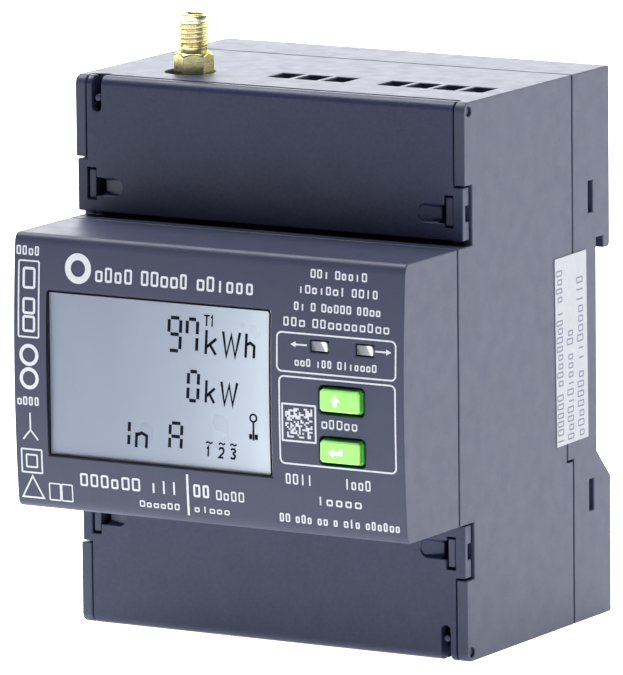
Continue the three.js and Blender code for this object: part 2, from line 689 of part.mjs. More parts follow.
/** The jack: square body, hexagon, and a threaded barrel bored for its insulator. */
function antennaJack() {
  const y = forwardY(JACK_FORWARD);
  const { root, crest, bore, height, collar, turns } = JACK_BARREL;
  const { neck, rim, chamfer } = JACK_MOUTH;
  const hexagon = new THREE.CylinderGeometry(JACK_HEX.radius, JACK_HEX.radius, JACK_HEX.height, 6);
  hexagon.rotateX(Math.PI / 2);
  const profile = [
    [0, 0],
    [root, 0],
    ...threadPoints(root, crest, collar, height - neck, turns),
    [root, height - rim],
    [root + chamfer, height - rim],
    [root + chamfer, height - chamfer],
    [root, height],
    [0, height],
  ].map(([r, z]) => new THREE.Vector2(r, z));
  const barrel = new THREE.LatheGeometry(profile, 20).rotateX(Math.PI / 2);
  return cut(
    join(
      block(JACK_X - 1.9, JACK_X + 1.9, JACK_FORWARD - 1.5, JACK_FORWARD + 1.9, 83, 88),
      solid(hexagon.translate(JACK_X, y, JACK_HEX.middle)),
      solid(barrel.translate(JACK_X, y, JACK_TOP - height)),
    ),
    bar("z", bore, 92, JACK_TOP + 1, [JACK_X, y, 0], 16),
  );
}

/** Saw-tooth points of a thread between two heights, as [radius, height]. */
function threadPoints(root, crest, z0, z1, turns) {
  const pitch = (z1 - z0) / turns;
  return Array.from({ length: turns }, (_, i) => [
    [root, z0 + (i + 0.1) * pitch],
    [crest, z0 + (i + 0.5) * pitch],
    [root, z0 + (i + 0.9) * pitch],
  ]).flat();
}

/** The pale insulator in the jack's bore, bored for the centre contact. */
function antennaInsulator() {
  const centre = [JACK_X, forwardY(JACK_FORWARD), 0];
  return bar("z", 1.48, 92.1, 98.6, centre, 16).subtract(bar("z", 0.62, 93, 99, centre, 10));
}

/** The gold centre contact, a tube with an open mouth. */
function antennaContact() {
  const centre = [JACK_X, forwardY(JACK_FORWARD), 0];
  return bar("z", 0.55, 93.1, 98.7, centre, 10).subtract(bar("z", 0.3, 96, 99, centre, 8));
}

// ---- Inside --------------------------------------------------------------------------------------

/** A current transformer: a ring core standing on the metering board. */
function currentTransformer(x, z) {
  const profile = [
    [2.6, 0],
    [6.2, 0],
    [6.8, 0.6],
    [6.8, 7.4],
    [6.2, 8],
    [2.6, 8],
    [2.6, 0],
  ].map(([r, along]) => new THREE.Vector2(r, along));
  const ring = new THREE.LatheGeometry(profile, 20);
  return solid(ring.translate(x, forwardY(METER_BOARD - GAP), z));
}

/** The supply transformer: a winding between the legs of its core. */
function supplyTransformer() {
  const back = METER_BOARD - GAP;
  return join(
    block(-12, 12, back - 11, back - 2, 50, 66),
    block(-8, 8, back - 12, back - 0.5, 52, 64),
    block(-10.5, 10.5, back - 3, back, 51, 65),
  );
}

/** A closed coil: wire of a few sides swept along a helix. */
function coilSpring(z0, z1, turns, radius, wire) {
  class Helix extends THREE.Curve {
    getPoint(t, target = new THREE.Vector3()) {
      const angle = 2 * Math.PI * turns * t;
      return target.set(radius * Math.cos(angle), radius * Math.sin(angle), z0 + (z1 - z0) * t);
    }
  }
  const sides = 5;
  const section = new THREE.Shape(
    Array.from({ length: sides }, (_, i) => {
      const angle = (2 * Math.PI * i) / sides;
      return new THREE.Vector2(wire * Math.cos(angle), wire * Math.sin(angle));
    }),
  );
  const swept = new THREE.ExtrudeGeometry(section, {
    extrudePath: new Helix(),
    steps: turns * 10,
    bevelEnabled: false,
  });
  return solid(swept.translate(0, forwardY(2.2), 0));
}

/** The sliding latch: a claw under the rail's lower edge, a wide foot in the channel, a window for
 * the spring, and a hole for a screwdriver. */
function railLatch() {
  const { half, wideHalf, back, shoulder, front, foot } = LATCH;
  const claw = [
    [back, foot],
    [front, foot],
    [front, RAIL_LOW - 0.2],
    [3.3, RAIL_LOW - 0.2],
    [3.3, 29.2],
    [3, 29.2],
    [back, 26.6],
  ];
  return cut(
    join(
      sideProfile(claw.slice().reverse(), -half, half),
      block(-wideHalf, wideHalf, shoulder, front, foot, LATCH_SHOULDER_TOP),
    ),
    block(-1.9, 1.9, -1, front + 1, SPRING_STUB_TOP - 1.7, 20),
    block(-3, 3, -1, front + 1, 2.5, 5.5),
  );
}

// ---- Assembly ------------------------------------------------------------------------------------

add("rear_base", rearBase(), HOUSING);
add("main_housing", mainHousing(), HOUSING);
add("front_hood", frontHood(), HOUSING);

const cover = terminalCover();
BAYS.forEach((bay) => placeCover(bay, cover, COVER));

add("display_window", displayWindow(), CLEAR);
add("rating_label", block(HALF + 0.02, HALF + 0.17, 7.7, 18.7, 30, 61), PALE);
add("rail_latch", railLatch(), BLOCK_PLASTIC);
add("latch_spring", coilSpring(SPRING_STUB_TOP + 0.4, 19.6, 6, 1.05, 0.22), STEEL);

add("lcd_panel", lcdPanel(), LCD_GLASS);
add("lcd_backlight", lcdBlock(0, DISPLAY_BOARD_FRONT, LCD_BACK - GAP), PALE);
add("display_carrier", displayCarrier(), BLACK_PLASTIC);
add(
  "display_board",
  block(-BOARD_HALF, BOARD_HALF, DISPLAY_BOARD, DISPLAY_BOARD + BOARD, 25.5, 63.8),
  PRINTED_BOARD,
);

for (const [name, z] of [
  ["up", UP_BUTTON_Z],
  ["enter", ENTER_BUTTON_Z],
]) {
  add(name + "_button", pushButton(z), BUTTON_GREEN);
  add(name + "_switch", switchCase(z), BLACK_PLASTIC);
  add(name + "_switch_plunger", forwardBar(1, SWITCH_WELL + 1, PLUNGER_TIP, BUTTON.x, z, 12), STEEL);
}

for (const side of ["left", "right"]) {
  add("pulse_window_" + side, pulseWindow(PULSE[side]), CLEAR);
  add("pulse_light_" + side, pulseLight(PULSE[side]), PALE);
}

add(
  "metering_board",
  block(-BOARD_HALF, BOARD_HALF, METER_BOARD, METER_BOARD + BOARD, 2.8, 87.2),
  PRINTED_BOARD,
);
add(
  "riser_board",
  block(-31.5, -30.1, METER_BOARD_FRONT, DISPLAY_BOARD - GAP, 30, 58),
  PRINTED_BOARD,
);
add("radio_board", block(-32.5, -9.5, 33, 34.3, 69, 85.5), PRINTED_BOARD);
add("radio_shield", block(-31, -24, 34.6, 37, 71, 81), STEEL);
add("supply_transformer", supplyTransformer(), COPPER);
add("filter_capacitor", forwardBar(5, METER_BOARD_FRONT, 45, 22, 52, 16), BLACK_PLASTIC);
[-21, 0, 21].forEach((x, i) =>
  add("current_transformer_" + (i + 1), currentTransformer(x, 36), COPPER),
);

let firstWay = 0;
for (const { ways } of SIGNAL_BLOCKS) {
  const own = signalWays.slice(firstWay, firstWay + ways);
  firstWay += ways;
  add(
    "signal_terminal_block_" + ways + "_way",
    terminalBlock(own, SIGNAL_PITCH, NOSE_TOP + 1, blockTop, blockTop + 1, SIGNAL_SCREW_Z),
    BLOCK_PLASTIC,
  );
}
add(
  "mains_terminal_block",
  terminalBlock(mainsWays, MAINS_PITCH, WALL + GAP, NOSE_BOTTOM - 1, WALL - 1, MAINS_SCREW_Z),
  BLOCK_PLASTIC,
);
placeScrews("signal_terminal", signalWays, SIGNAL_SCREW_Z);
placeScrews("mains_terminal", mainsWays, MAINS_SCREW_Z);

add("antenna_jack", antennaJack(), GOLD);
add("antenna_insulator", antennaInsulator(), PALE);
add("antenna_contact", antennaContact(), GOLD);

export default meter;
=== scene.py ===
"""The looks of a four-module smart electric meter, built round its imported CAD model.

Everything is in metres in the model's own frame: +Z up, the display faces -Y, and the origin is at the
middle of the flat bottom face. The CAD nodes say where things are and what they move with. Each one is
replaced by a finished mesh with rounded moulded edges, turned metal, print or display, and every mesh
gets a procedural material.
"""

import json
import math
import random

import bmesh
import bpy
from mathutils import Matrix, Vector


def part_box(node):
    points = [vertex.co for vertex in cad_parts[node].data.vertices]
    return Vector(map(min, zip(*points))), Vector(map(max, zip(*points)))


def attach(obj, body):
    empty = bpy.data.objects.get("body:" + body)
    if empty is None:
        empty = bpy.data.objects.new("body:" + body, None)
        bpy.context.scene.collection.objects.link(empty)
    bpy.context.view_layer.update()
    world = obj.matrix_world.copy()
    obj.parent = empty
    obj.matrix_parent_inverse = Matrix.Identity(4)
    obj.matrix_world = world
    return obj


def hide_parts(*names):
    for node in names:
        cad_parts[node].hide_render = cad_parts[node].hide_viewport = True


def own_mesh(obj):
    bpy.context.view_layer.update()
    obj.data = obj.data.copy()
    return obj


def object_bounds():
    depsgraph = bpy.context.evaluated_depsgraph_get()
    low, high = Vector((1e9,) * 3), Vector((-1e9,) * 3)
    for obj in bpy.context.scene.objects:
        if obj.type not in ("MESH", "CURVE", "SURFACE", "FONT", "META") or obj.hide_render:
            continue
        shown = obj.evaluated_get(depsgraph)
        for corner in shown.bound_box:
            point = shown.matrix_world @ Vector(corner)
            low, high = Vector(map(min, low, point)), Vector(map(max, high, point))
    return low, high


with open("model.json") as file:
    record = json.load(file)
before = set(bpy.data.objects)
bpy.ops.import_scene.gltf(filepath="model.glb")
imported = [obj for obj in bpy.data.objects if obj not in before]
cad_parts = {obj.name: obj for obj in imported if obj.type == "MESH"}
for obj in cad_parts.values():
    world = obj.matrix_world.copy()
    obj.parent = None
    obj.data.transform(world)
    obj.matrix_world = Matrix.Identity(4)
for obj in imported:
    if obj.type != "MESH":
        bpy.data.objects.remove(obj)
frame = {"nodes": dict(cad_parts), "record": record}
CAD_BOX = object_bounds()

MM = 0.001
NODES = frame["nodes"]
BODIES = {node: name for name, members in frame["record"]["behaviour"]["bodies"].items() for node in members}


# ---- Meshes --------------------------------------------------------------------------------------


def piece(name, mesh, material, node, replaces=True):
    """A finished object with its material, that moves with a CAD node and, if it replaces it, takes its
    place.
    """
    made = bpy.data.objects.new(name, mesh)
    bpy.context.scene.collection.objects.link(made)
    mesh.materials.clear()
    mesh.materials.append(material)
    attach(made, BODIES[node])
    if replaces:
        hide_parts(node)
    return made


def mesh_of(shape, name="mesh"):
    """The mesh of a bmesh, which is then freed."""
    bmesh.ops.recalc_face_normals(shape, faces=shape.faces[:])
    mesh = bpy.data.meshes.new(name)
    shape.to_mesh(mesh)
    shape.free()
    return mesh


SLIVER = 0.03  # edges shorter than this would make the rounding overshoot, mm
FLAT = math.radians(0.3)  # faces that differ by less than this in direction are one flat face


def clean_mesh(node):
    """A CAD node's mesh with its flat faces whole again and no slivers, ready for rounding."""
    shape = bmesh.new()
    shape.from_mesh(NODES[node].data)
    bmesh.ops.remove_doubles(shape, verts=shape.verts[:], dist=SLIVER * MM)
    bmesh.ops.dissolve_limit(shape, angle_limit=FLAT, verts=shape.verts[:], edges=shape.edges[:])
    return mesh_of(shape, node)


def evened(made):
    """Smooths a piece's shading, and weighs it so that flat faces stay flat."""
    made.data.shade_smooth()
    shading = made.modifiers.new("shading", "WEIGHTED_NORMAL")
    shading.keep_sharp = False


def rounded(made, radius, segments=2, angle=32):
    """Rounds a piece's edges, by a radius in mm, where its faces meet at more than an angle in degrees."""
    bevel = made.modifiers.new("rounding", "BEVEL")
    bevel.width = radius * MM
    bevel.segments = segments
    bevel.limit_method = "ANGLE"
    bevel.angle_limit = math.radians(angle)
    bevel.use_clamp_overlap = False
    evened(made)


def thickened(made, outward, thickness):
    """Turns flat print to face outward, and gives it a thickness in metres behind its face."""
    for polygon in made.data.polygons:
        if polygon.normal.dot(outward) < 0:
            polygon.flip()
    solid = made.modifiers.new("thickness", "SOLIDIFY")
    solid.thickness = thickness
    solid.offset = -1


def softened(node, material, radius=0.2, segments=2, angle=32):
    """A CAD node's shape as a moulded piece with rounded edges."""
    rounded(piece(node + "_finish", clean_mesh(node), material, node), radius, segments, angle)


def revolved(profile, centre, sides=48, radius_at=None, axis="z"):
    """A turned mesh. profile is a closed loop of (radius, height) in mm, or runs from axis to axis.

    radius_at(turn, radius, height) may change a radius, with turn from 0 to 1 round the axis. centre is
    a place in metres. axis "y" turns the profile's heights to face -Y.
    """
    shape = bmesh.new()
    rings = []
    for radius, height in profile:
        if radius == 0:
            rings.append([shape.verts.new((0, 0, height * MM))])
            continue
        ring = []
        for i in range(sides):
            turn = i / sides
            r = radius_at(turn, radius, height) if radius_at else radius
            angle = 2 * math.pi * turn
            ring.append(shape.verts.new((r * math.cos(angle) * MM, r * math.sin(angle) * MM, height * MM)))
        rings.append(ring)
    closed = profile[0][0] != 0
    pairs = list(zip(rings, rings[1:] + ([rings[0]] if closed else [])))
    for low, high in pairs:
        for i in range(sides):
            j = (i + 1) % sides
            corners = [low[i % len(low)], low[j % len(low)], high[j % len(high)], high[i % len(high)]]
            loop = list(dict.fromkeys(corners))
            if len(loop) > 2:
                shape.faces.new(loop)
    if axis == "y":
        bmesh.ops.rotate(shape, verts=shape.verts[:], matrix=Matrix.Rotation(math.pi / 2, 3, "X"))
    bmesh.ops.translate(shape, verts=shape.verts[:], vec=Vector(centre))
    return mesh_of(shape)


def coil(centre, radius, wire, low, high, turns, steps=36, sides=12):
    """A coil spring about a vertical axis through centre, with flat ends on two heights in mm."""
    shape = bmesh.new()
    count = turns * steps
    dead = 0.75  # turns at each end that lie flat
    rings = []
    for i in range(count + 1):
        turn = turns * i / count
        rise = min(max((turn - dead) / (turns - 2 * dead), 0), 1)
        angle = 2 * math.pi * turn
        z = low + wire + (high - low - 2 * wire) * rise
        out = Vector((math.cos(angle), math.sin(angle), 0))
        middle = out * radius + Vector((0, 0, z))
        ring = []
        for k in range(sides):
            around = 2 * math.pi * k / sides
            offset = out * (wire * math.cos(around)) + Vector((0, 0, wire * math.sin(around)))
            ring.append(shape.verts.new((middle + offset) * MM + Vector(centre)))
        rings.append(ring)
    for first, second in zip(rings, rings[1:]):
        for k in range(sides):
            m = (k + 1) % sides
            shape.faces.new([first[k], first[m], second[m], second[k]])
    shape.faces.new(rings[0])
    shape.faces.new(rings[-1])
    return mesh_of(shape)


def centre_of(node):
    """The middle of a CAD node's box."""
    low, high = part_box(node)
    return (low + high) / 2


# ---- Flat print ----------------------------------------------------------------------------------
# Shapes are lists of polygons, each a list of (x, z) points in mm on the front of the meter.


MITRE_LIMIT = 0.4  # keeps the mitre of a sharp bend from running far out
RING_SIDES = 24  # of a printed circle


def rectangle(left, right, low, high):
    """A filled rectangle."""
    return [[(left, low), (right, low), (right, high), (left, high)]]


def stroke(path, width, closed=False):
    """A line along a path of points, mitred at its bends, as quads."""
    points = [Vector(p) for p in path]
    count = len(points)
    sides = []
    for i, point in enumerate(points):
        before = points[i - 1] if closed or i > 0 else None
        after = points[(i + 1) % count] if closed or i < count - 1 else None
        steps = [(b - a).normalized() for a, b in ((before, point), (point, after)) if a and b]
        across = [Vector((-step.y, step.x)) for step in steps]
        mitre = sum(across, Vector((0, 0))).normalized()
        reach = width / 2 / max(mitre.dot(across[0]), MITRE_LIMIT)
        sides.append((point + mitre * reach, point - mitre * reach))
    quads = []
    for i in range(count if closed else count - 1):
        (a, b), (c, d) = sides[i], sides[(i + 1) % count]
        quads.append([tuple(p) for p in (a, c, d, b)])
    return quads


def arc_points(x, z, radius, start, end, steps=8):
    """Points of an arc between two angles in degrees."""
    points = []
    for i in range(steps + 1):
        angle = math.radians(start + (end - start) * i / steps)
        points.append((x + radius * math.cos(angle), z + radius * math.sin(angle)))
    return points


def rounded_outline(left, right, low, high, radius):
    """The points of a rectangle with rounded corners."""
    return (
        arc_points(right - radius, high - radius, radius, 0, 90)
        + arc_points(left + radius, high - radius, radius, 90, 180)
        + arc_points(left + radius, low + radius, radius, 180, 270)
        + arc_points(right - radius, low + radius, radius, 270, 360)
    )


def frame_line(left, right, low, high, radius, width):
    """A line round a rectangle with rounded corners."""
    return stroke(rounded_outline(left, right, low, high, radius), width, closed=True)


def ring(x, z, radius, width):
    """A circle's line."""
    last = 360 - 360 / RING_SIDES
    return stroke(arc_points(x, z, radius, 0, last, RING_SIDES - 1), width, closed=True)


def arrow(tip, tail, width, head_length, head_width):
    """A straight arrow with a filled head."""
    tip, tail = Vector(tip), Vector(tail)
    along = (tip - tail).normalized()
    across = Vector((-along.y, along.x))
    neck = tip - along * head_length
    head = [tuple(p) for p in (tip, neck + across * head_width / 2, neck - across * head_width / 2)]
    return [head] + stroke([tuple(tail), tuple(neck + along * 0.01)], width)


WORD_GAP = 0.7  # between groups of marks, in marks
TALL_SHARE = 0.6  # share of the marks with the full height
LOW_HEIGHT = 0.76  # height of the other marks
MARK_WIDTH = (0.66, 0.78)  # least and greatest share of its place that a mark fills
BAR_SHARE = 0.16  # share of the marks that are bars


def word_blocks(left, right, low, high, words, line, seed):
    """A line of small open boxes and bars in groups, which stands for print without any lettering."""
    draw = random.Random(seed)
    cells = sum(words) + WORD_GAP * (len(words) - 1)
    pitch = (right - left) / cells
    edge = line / 2
    shapes = []
    x = left
    for count in words:
        for _ in range(count):
            top = high if draw.random() < TALL_SHARE else low + (high - low) * LOW_HEIGHT
            width = pitch * draw.uniform(*MARK_WIDTH)
            if draw.random() < BAR_SHARE:
                middle = x + width / 2
                shapes += rectangle(middle - edge, middle + edge, low, top)
            else:
                shapes += frame_line(x + edge, x + width - edge, low + edge, top - edge, edge, line)
            x += pitch
        x += WORD_GAP * pitch
    return shapes


def nose_profile():
    """Heights and Y of the front of the nose in metres, read from the outline of its left side."""
    low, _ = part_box("front_hood")
    on_side = 0.01 * MM
    bow = 1.5 * MM
    points = {}
    for vertex in NODES["front_hood"].data.vertices:
        x, y, z = vertex.co
        if abs(x - low.x) < on_side and y < low.y + bow:
            points[round(z, 7)] = y
    return sorted(points.items())


NOSE = nose_profile()


def nose_y(z):
    """Y of the bowed front of the nose at a height in metres."""
    for (z0, y0), (z1, y1) in zip(NOSE, NOSE[1:]):
        if z0 <= z <= z1:
            return y0 + (y1 - y0) * (z - z0) / (z1 - z0)
    return NOSE[0][1]


INK = 0.03  # how far print stands on a surface, mm
ROWS = range(22, 68, 2)  # heights in mm where print is cut, so that it follows the bowed front


def printed(name, shapes, material, node, surface=nose_y, lift=INK):
    """Thin print on a surface that faces -Y. surface(z) is the surface's Y, and lift is in mm."""
    shape = bmesh.new()
    for points in shapes:
        shape.faces.new([shape.verts.new((x * MM, 0, z * MM)) for x, z in points])
    for row in ROWS:
        everything = shape.verts[:] + shape.edges[:] + shape.faces[:]
        bmesh.ops.bisect_plane(shape, geom=everything, plane_co=(0, 0, row * MM), plane_no=(0, 0, 1))
    for vertex in shape.verts:
        vertex.co.y = surface(vertex.co.z) - lift * MM
    made = piece(name, mesh_of(shape), material, node, replaces=False)
    thickened(made, Vector((0, -1, 0)), 2 * INK * MM)


# ---- Materials -----------------------------------------------------------------------------------


def rgb(code):
    """Linear colour of a six-digit sRGB code."""
    values = [int(code[i : i + 2], 16) / 255 for i in (0, 2, 4)]
    return [v / 12.92 if v <= 0.04045 else ((v + 0.055) / 1.055) ** 2.4 for v in values] + [1]


class Surface:
    """A node material on a Principled shader, placed by object coordinates in metres."""

    def __init__(self, name, roughness=0.5, metallic=0.0, **settings):
        self.material = bpy.data.materials.new(name)
        self.material.use_nodes = True
        self.tree = self.material.node_tree
        self.shader = self.tree.nodes["Principled BSDF"]
        self.place = self.node("ShaderNodeTexCoord").outputs["Object"]
        self.set("Roughness", roughness)
        self.set("Metallic", metallic)
        for socket, value in settings.items():
            self.set(socket.replace("_", " "), value)

    def node(self, kind, **values):
        made = self.tree.nodes.new(kind)
        for key, value in values.items():
            setattr(made, key, value)
        return made

    def set(self, socket, value):
        self.shader.inputs[socket].default_value = value

    def link(self, source, target):
        self.tree.links.new(source, target)

    def noise(self, size, detail=3, roughness=0.55, stretch=(1, 1, 1)):
        """Noise with features of about a size in mm."""
        scale = self.node("ShaderNodeMapping")
        scale.inputs["Scale"].default_value = [s / (size * MM) for s in stretch]
        self.link(self.place, scale.inputs["Vector"])
        noise = self.node("ShaderNodeTexNoise")
        noise.inputs["Scale"].default_value = 1
        noise.inputs["Detail"].default_value = detail
        noise.inputs["Roughness"].default_value = roughness
        self.link(scale.outputs["Vector"], noise.inputs["Vector"])
        return noise.outputs["Fac"]

    def ramp(self, factor, *stops):
        """A colour ramp of (position, colour) stops."""
        ramp = self.node("ShaderNodeValToRGB")
        elements = ramp.color_ramp.elements
        while len(elements) < len(stops):
            elements.new(0.5)
        for element, (position, colour) in zip(elements, stops):
            element.position = position
            element.color = colour
        self.link(factor, ramp.inputs["Fac"])
        return ramp.outputs["Color"]

    def range(self, factor, low, high, start=0.3, end=0.7):
        """A factor mapped from start-end to low-high."""
        mapped = self.node("ShaderNodeMapRange")
        for socket, value in (("From Min", start), ("From Max", end), ("To Min", low), ("To Max", high)):
            mapped.inputs[socket].default_value = value
        self.link(factor, mapped.inputs["Value"])
        return mapped.outputs["Result"]

    def mixed(self, factor, first, second):
        """Two colours mixed. Each of the three may be a socket or a value."""
        mix = self.node("ShaderNodeMix", data_type="RGBA")
        sockets = (mix.inputs["Factor"], mix.inputs[6], mix.inputs[7])
        for socket, value in zip(sockets, (factor, first, second)):
            if isinstance(value, bpy.types.NodeSocket):
                self.link(value, socket)
            else:
                socket.default_value = value
        return mix.outputs[2]

    def colour(self, socket):
        self.link(socket, self.shader.inputs["Base Color"])

    def roughness(self, socket):
        self.link(socket, self.shader.inputs["Roughness"])

    def bump(self, *layers):
        """Bumps from (height, strength, depth in mm) layers, each laid on the one before."""
        normal = None
        for height, strength, depth in layers:
            bump = self.node("ShaderNodeBump")
            bump.inputs["Strength"].default_value = strength
            bump.inputs["Distance"].default_value = depth * MM
            self.link(height, bump.inputs["Height"])
            if normal:
                self.link(normal, bump.inputs["Normal"])
            normal = bump.outputs["Normal"]
        self.link(normal, self.shader.inputs["Normal"])

    def along(self, axis, start, end):
        """A factor from 0 to 1 between two places in mm on an axis."""
        parts = self.node("ShaderNodeSeparateXYZ")
        self.link(self.place, parts.inputs["Vector"])
        return self.range(parts.outputs[axis], 0, 1, start * MM, end * MM)


def tinted(colour, factor):
    """A colour made lighter or darker."""
    return [min(value * factor, 1) for value in colour[:3]] + [1]


def moulded(name, code, roughness=0.5, grain=0.22, grain_depth=0.008, mottle=0.04, **settings):
    """Spark-eroded moulded plastic: a fine even grain, and a faint cloud in its colour and gloss."""
    surface = Surface(name, roughness, **settings)
    colour = rgb(code)

    def cloud(noise, spread):
        return surface.ramp(noise, (0.3, tinted(colour, 1 - spread)), (0.7, tinted(colour, 1 + spread)))

    broad = cloud(surface.noise(9, 4), mottle)
    fine = cloud(surface.noise(1.6 * grain, 2), 3 * mottle)
    surface.colour(surface.mixed(0.45, broad, fine))
    surface.roughness(surface.range(surface.noise(3, 3), roughness - 0.04, roughness + 0.04))
    surface.bump((surface.noise(grain, 2, 0.6), 0.5, grain_depth))
    return surface.material


def ink(name, code, **settings):
    """Screen print, slightly uneven."""
    surface = Surface(name, 0.55, **settings)
    colour = rgb(code)
    worn = surface.noise(0.5, 3)
    surface.colour(surface.ramp(worn, (0.25, tinted(colour, 0.86)), (0.6, colour)))
    surface.roughness(surface.range(surface.noise(1.5), 0.48, 0.62))
    surface.bump((surface.noise(0.12, 2), 0.3, 0.004))
    return surface.material


def lcd_surface():
    """The grey reflective display, with a painted highlight that makes it brighter towards its right edge,
    and a faint cloud.
    """
    low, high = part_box("lcd_panel")
    surface = Surface("lcd_glass", 0.28)
    across = surface.along("X", low.x / MM, high.x / MM)
    # The ramp across the panel is painted light: a highlight that grows towards the right edge.
    painted_highlight = surface.ramp(
        across,
        (0.02, rgb("9397a2")),
        (0.3, rgb("9699a5")),
        (0.5, rgb("9fa4af")),
        (0.62, rgb("a8abb4")),
        (0.86, rgb("c6cad0")),
        (0.97, rgb("e2e5e6")),
    )
    cloud = surface.range(surface.noise(12, 2), 0, 0.02)
    surface.colour(surface.mixed(cloud, painted_highlight, rgb("6c7180")))
    surface.roughness(surface.range(surface.noise(9), 0.27, 0.3))
    surface.bump((surface.noise(5, 2), 0.1, 0.003))
    return surface.material


def clear_surface():
    """Thin clear plastic: see-through, with a faint haze and a gloss that grows at grazing angles."""
    surface = Surface("clear_plastic", 0.08, IOR=1.49)
    surface.set("Base Color", rgb("10131a"))
    surface.roughness(surface.range(surface.noise(6), 0.05, 0.12))
    through = surface.node("ShaderNodeBsdfTransparent")
    through.inputs["Color"].default_value = rgb("fbfdff")
    layer = surface.node("ShaderNodeLayerWeight")
    layer.inputs["Blend"].default_value = 0.5
    steep = surface.node("ShaderNodeMath", operation="POWER")
    surface.link(layer.outputs["Facing"], steep.inputs[0])
    steep.inputs[1].default_value = 4
    share = surface.range(steep.outputs[0], 0, 0.5, 0, 1)
    mix = surface.node("ShaderNodeMixShader")
    surface.link(share, mix.inputs["Fac"])
    surface.link(through.outputs[0], mix.inputs[1])
    surface.link(surface.shader.outputs[0], mix.inputs[2])
    surface.link(mix.outputs[0], surface.tree.nodes["Material Output"].inputs["Surface"])
    return surface.material


def light_guide_surface():
    """The faceted light guides of the pulse windows: slanting stripes of painted shade in greys, with one
    stripe of painted bright reflection on a facet.

    The stripes repeat from one window to the other.
    """
    surface = Surface("light_guide", 0.16, Coat_Weight=0.6, Coat_Roughness=0.05)
    low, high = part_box("pulse_window_left")
    width = high.x - low.x
    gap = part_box("pulse_window_right")[0].x - low.x
    slant = 0.55  # how far the bands lean, in widths of a window
    parts = surface.node("ShaderNodeSeparateXYZ")
    surface.link(surface.place, parts.inputs["Vector"])
    wrap = surface.node("ShaderNodeMath", operation="WRAP")
    surface.link(parts.outputs["X"], wrap.inputs[0])
    wrap.inputs[1].default_value = low.x + gap
    wrap.inputs[2].default_value = low.x
    across = surface.range(wrap.outputs[0], 0, 1, low.x, high.x)
    lean = surface.range(parts.outputs["Z"], -slant / 2, slant / 2, low.z, low.z + width)
    slanted = surface.node("ShaderNodeMath", operation="ADD")
    surface.link(across, slanted.inputs[0])
    surface.link(lean, slanted.inputs[1])
    # The ramp paints the facets' light: dark and grey stripes of painted shade, and one white stripe of
    # painted reflection.
    painted_facet_light = surface.ramp(
        slanted.outputs[0],
        (0.1, rgb("202229")),
        (0.24, rgb("6d717b")),
        (0.54, rgb("868a94")),
        (0.62, rgb("f4f6f8")),
        (0.76, rgb("e6e9ed")),
        (0.84, rgb("4c4f58")),
        (0.98, rgb("25272e")),
    )
    surface.colour(painted_facet_light)
    surface.roughness(surface.range(surface.noise(0.8), 0.12, 0.22))
    surface.bump((surface.noise(0.5, 2), 0.2, 0.01))
    return surface.material


def button_surface(name, code):
    """Translucent lime plastic with a satin grain."""
    surface = Surface(name, 0.42, Subsurface_Weight=0.3, Subsurface_Scale=0.0012)
    colour = rgb(code)
    surface.set("Subsurface Radius", (0.6, 1.0, 0.4))
    surface.colour(
        surface.ramp(surface.noise(1.6, 3), (0.3, tinted(colour, 0.94)), (0.7, tinted(colour, 1.05)))
    )
    surface.roughness(surface.range(surface.noise(0.8), 0.36, 0.48))
    surface.bump((surface.noise(0.18, 2), 0.4, 0.006))
    return surface.material


def plated(name, code, roughness, dark="6b6e74", edge="ffffff"):
    """Plated turned metal with fine turning lines, darker tarnish and a tint of its own at its edges."""
    surface = Surface(name, roughness, 1.0)
    surface.set("Specular Tint", rgb(edge))
    lines = surface.noise(0.08, 2, stretch=(0.05, 0.05, 1))
    tarnish = surface.noise(1.4, 3)
    surface.colour(surface.mixed(surface.range(tarnish, 0.0, 0.5, 0.45, 0.7), rgb(code), rgb(dark)))
    surface.roughness(surface.range(lines, roughness - 0.05, roughness + 0.08))
    surface.bump((lines, 0.2, 0.004))
    return surface.material


def board_surface():
    """Green laminate: solder mask over copper tracks, with pads and drill holes as small spots."""
    tracks_per_metre = 420
    pads_per_metre = 340
    surface = Surface("board_laminate", 0.38, Coat_Weight=0.3)
    scale = surface.node("ShaderNodeMapping")
    scale.inputs["Scale"].default_value = [tracks_per_metre] * 3
    surface.link(surface.place, scale.inputs["Vector"])
    tracks = surface.node("ShaderNodeTexBrick")
    tracks.inputs["Scale"].default_value = 1
    tracks.inputs["Mortar Size"].default_value = 0.09
    tracks.inputs["Color1"].default_value = rgb("14532f")
    tracks.inputs["Color2"].default_value = rgb("1a5f38")
    tracks.inputs["Mortar"].default_value = rgb("2c8450")
    surface.link(scale.outputs["Vector"], tracks.inputs["Vector"])
    pads = surface.node("ShaderNodeTexVoronoi")
    pads.inputs["Scale"].default_value = pads_per_metre
    surface.link(surface.place, pads.inputs["Vector"])
    spot = surface.range(pads.outputs["Distance"], 1, 0, 0.16, 0.2)
    surface.colour(surface.mixed(spot, tracks.outputs["Color"], rgb("c9cdd0")))
    surface.roughness(surface.range(surface.noise(2), 0.3, 0.45))
    surface.bump((tracks.outputs["Fac"], 0.5, 0.03))
    return surface.material


def winding_surface():
    """Enamelled copper wire, laid in turns, darker in the valleys between turns as painted shade."""
    waves_per_metre = 700
    surface = Surface("winding", 0.3, 0.85)
    wave = surface.node("ShaderNodeTexWave", wave_type="BANDS", bands_direction="X")
    wave.inputs["Scale"].default_value = waves_per_metre
    wave.inputs["Distortion"].default_value = 0.6
    surface.link(surface.place, wave.inputs["Vector"])
    # The ramp darkens the valleys between turns: painted shade.
    surface.colour(surface.ramp(wave.outputs["Fac"], (0.1, rgb("4a1f0d")), (0.6, rgb("b5632f"))))
    surface.roughness(surface.range(surface.noise(1.2), 0.24, 0.4))
    surface.bump((wave.outputs["Fac"], 0.7, 0.06))
    return surface.material


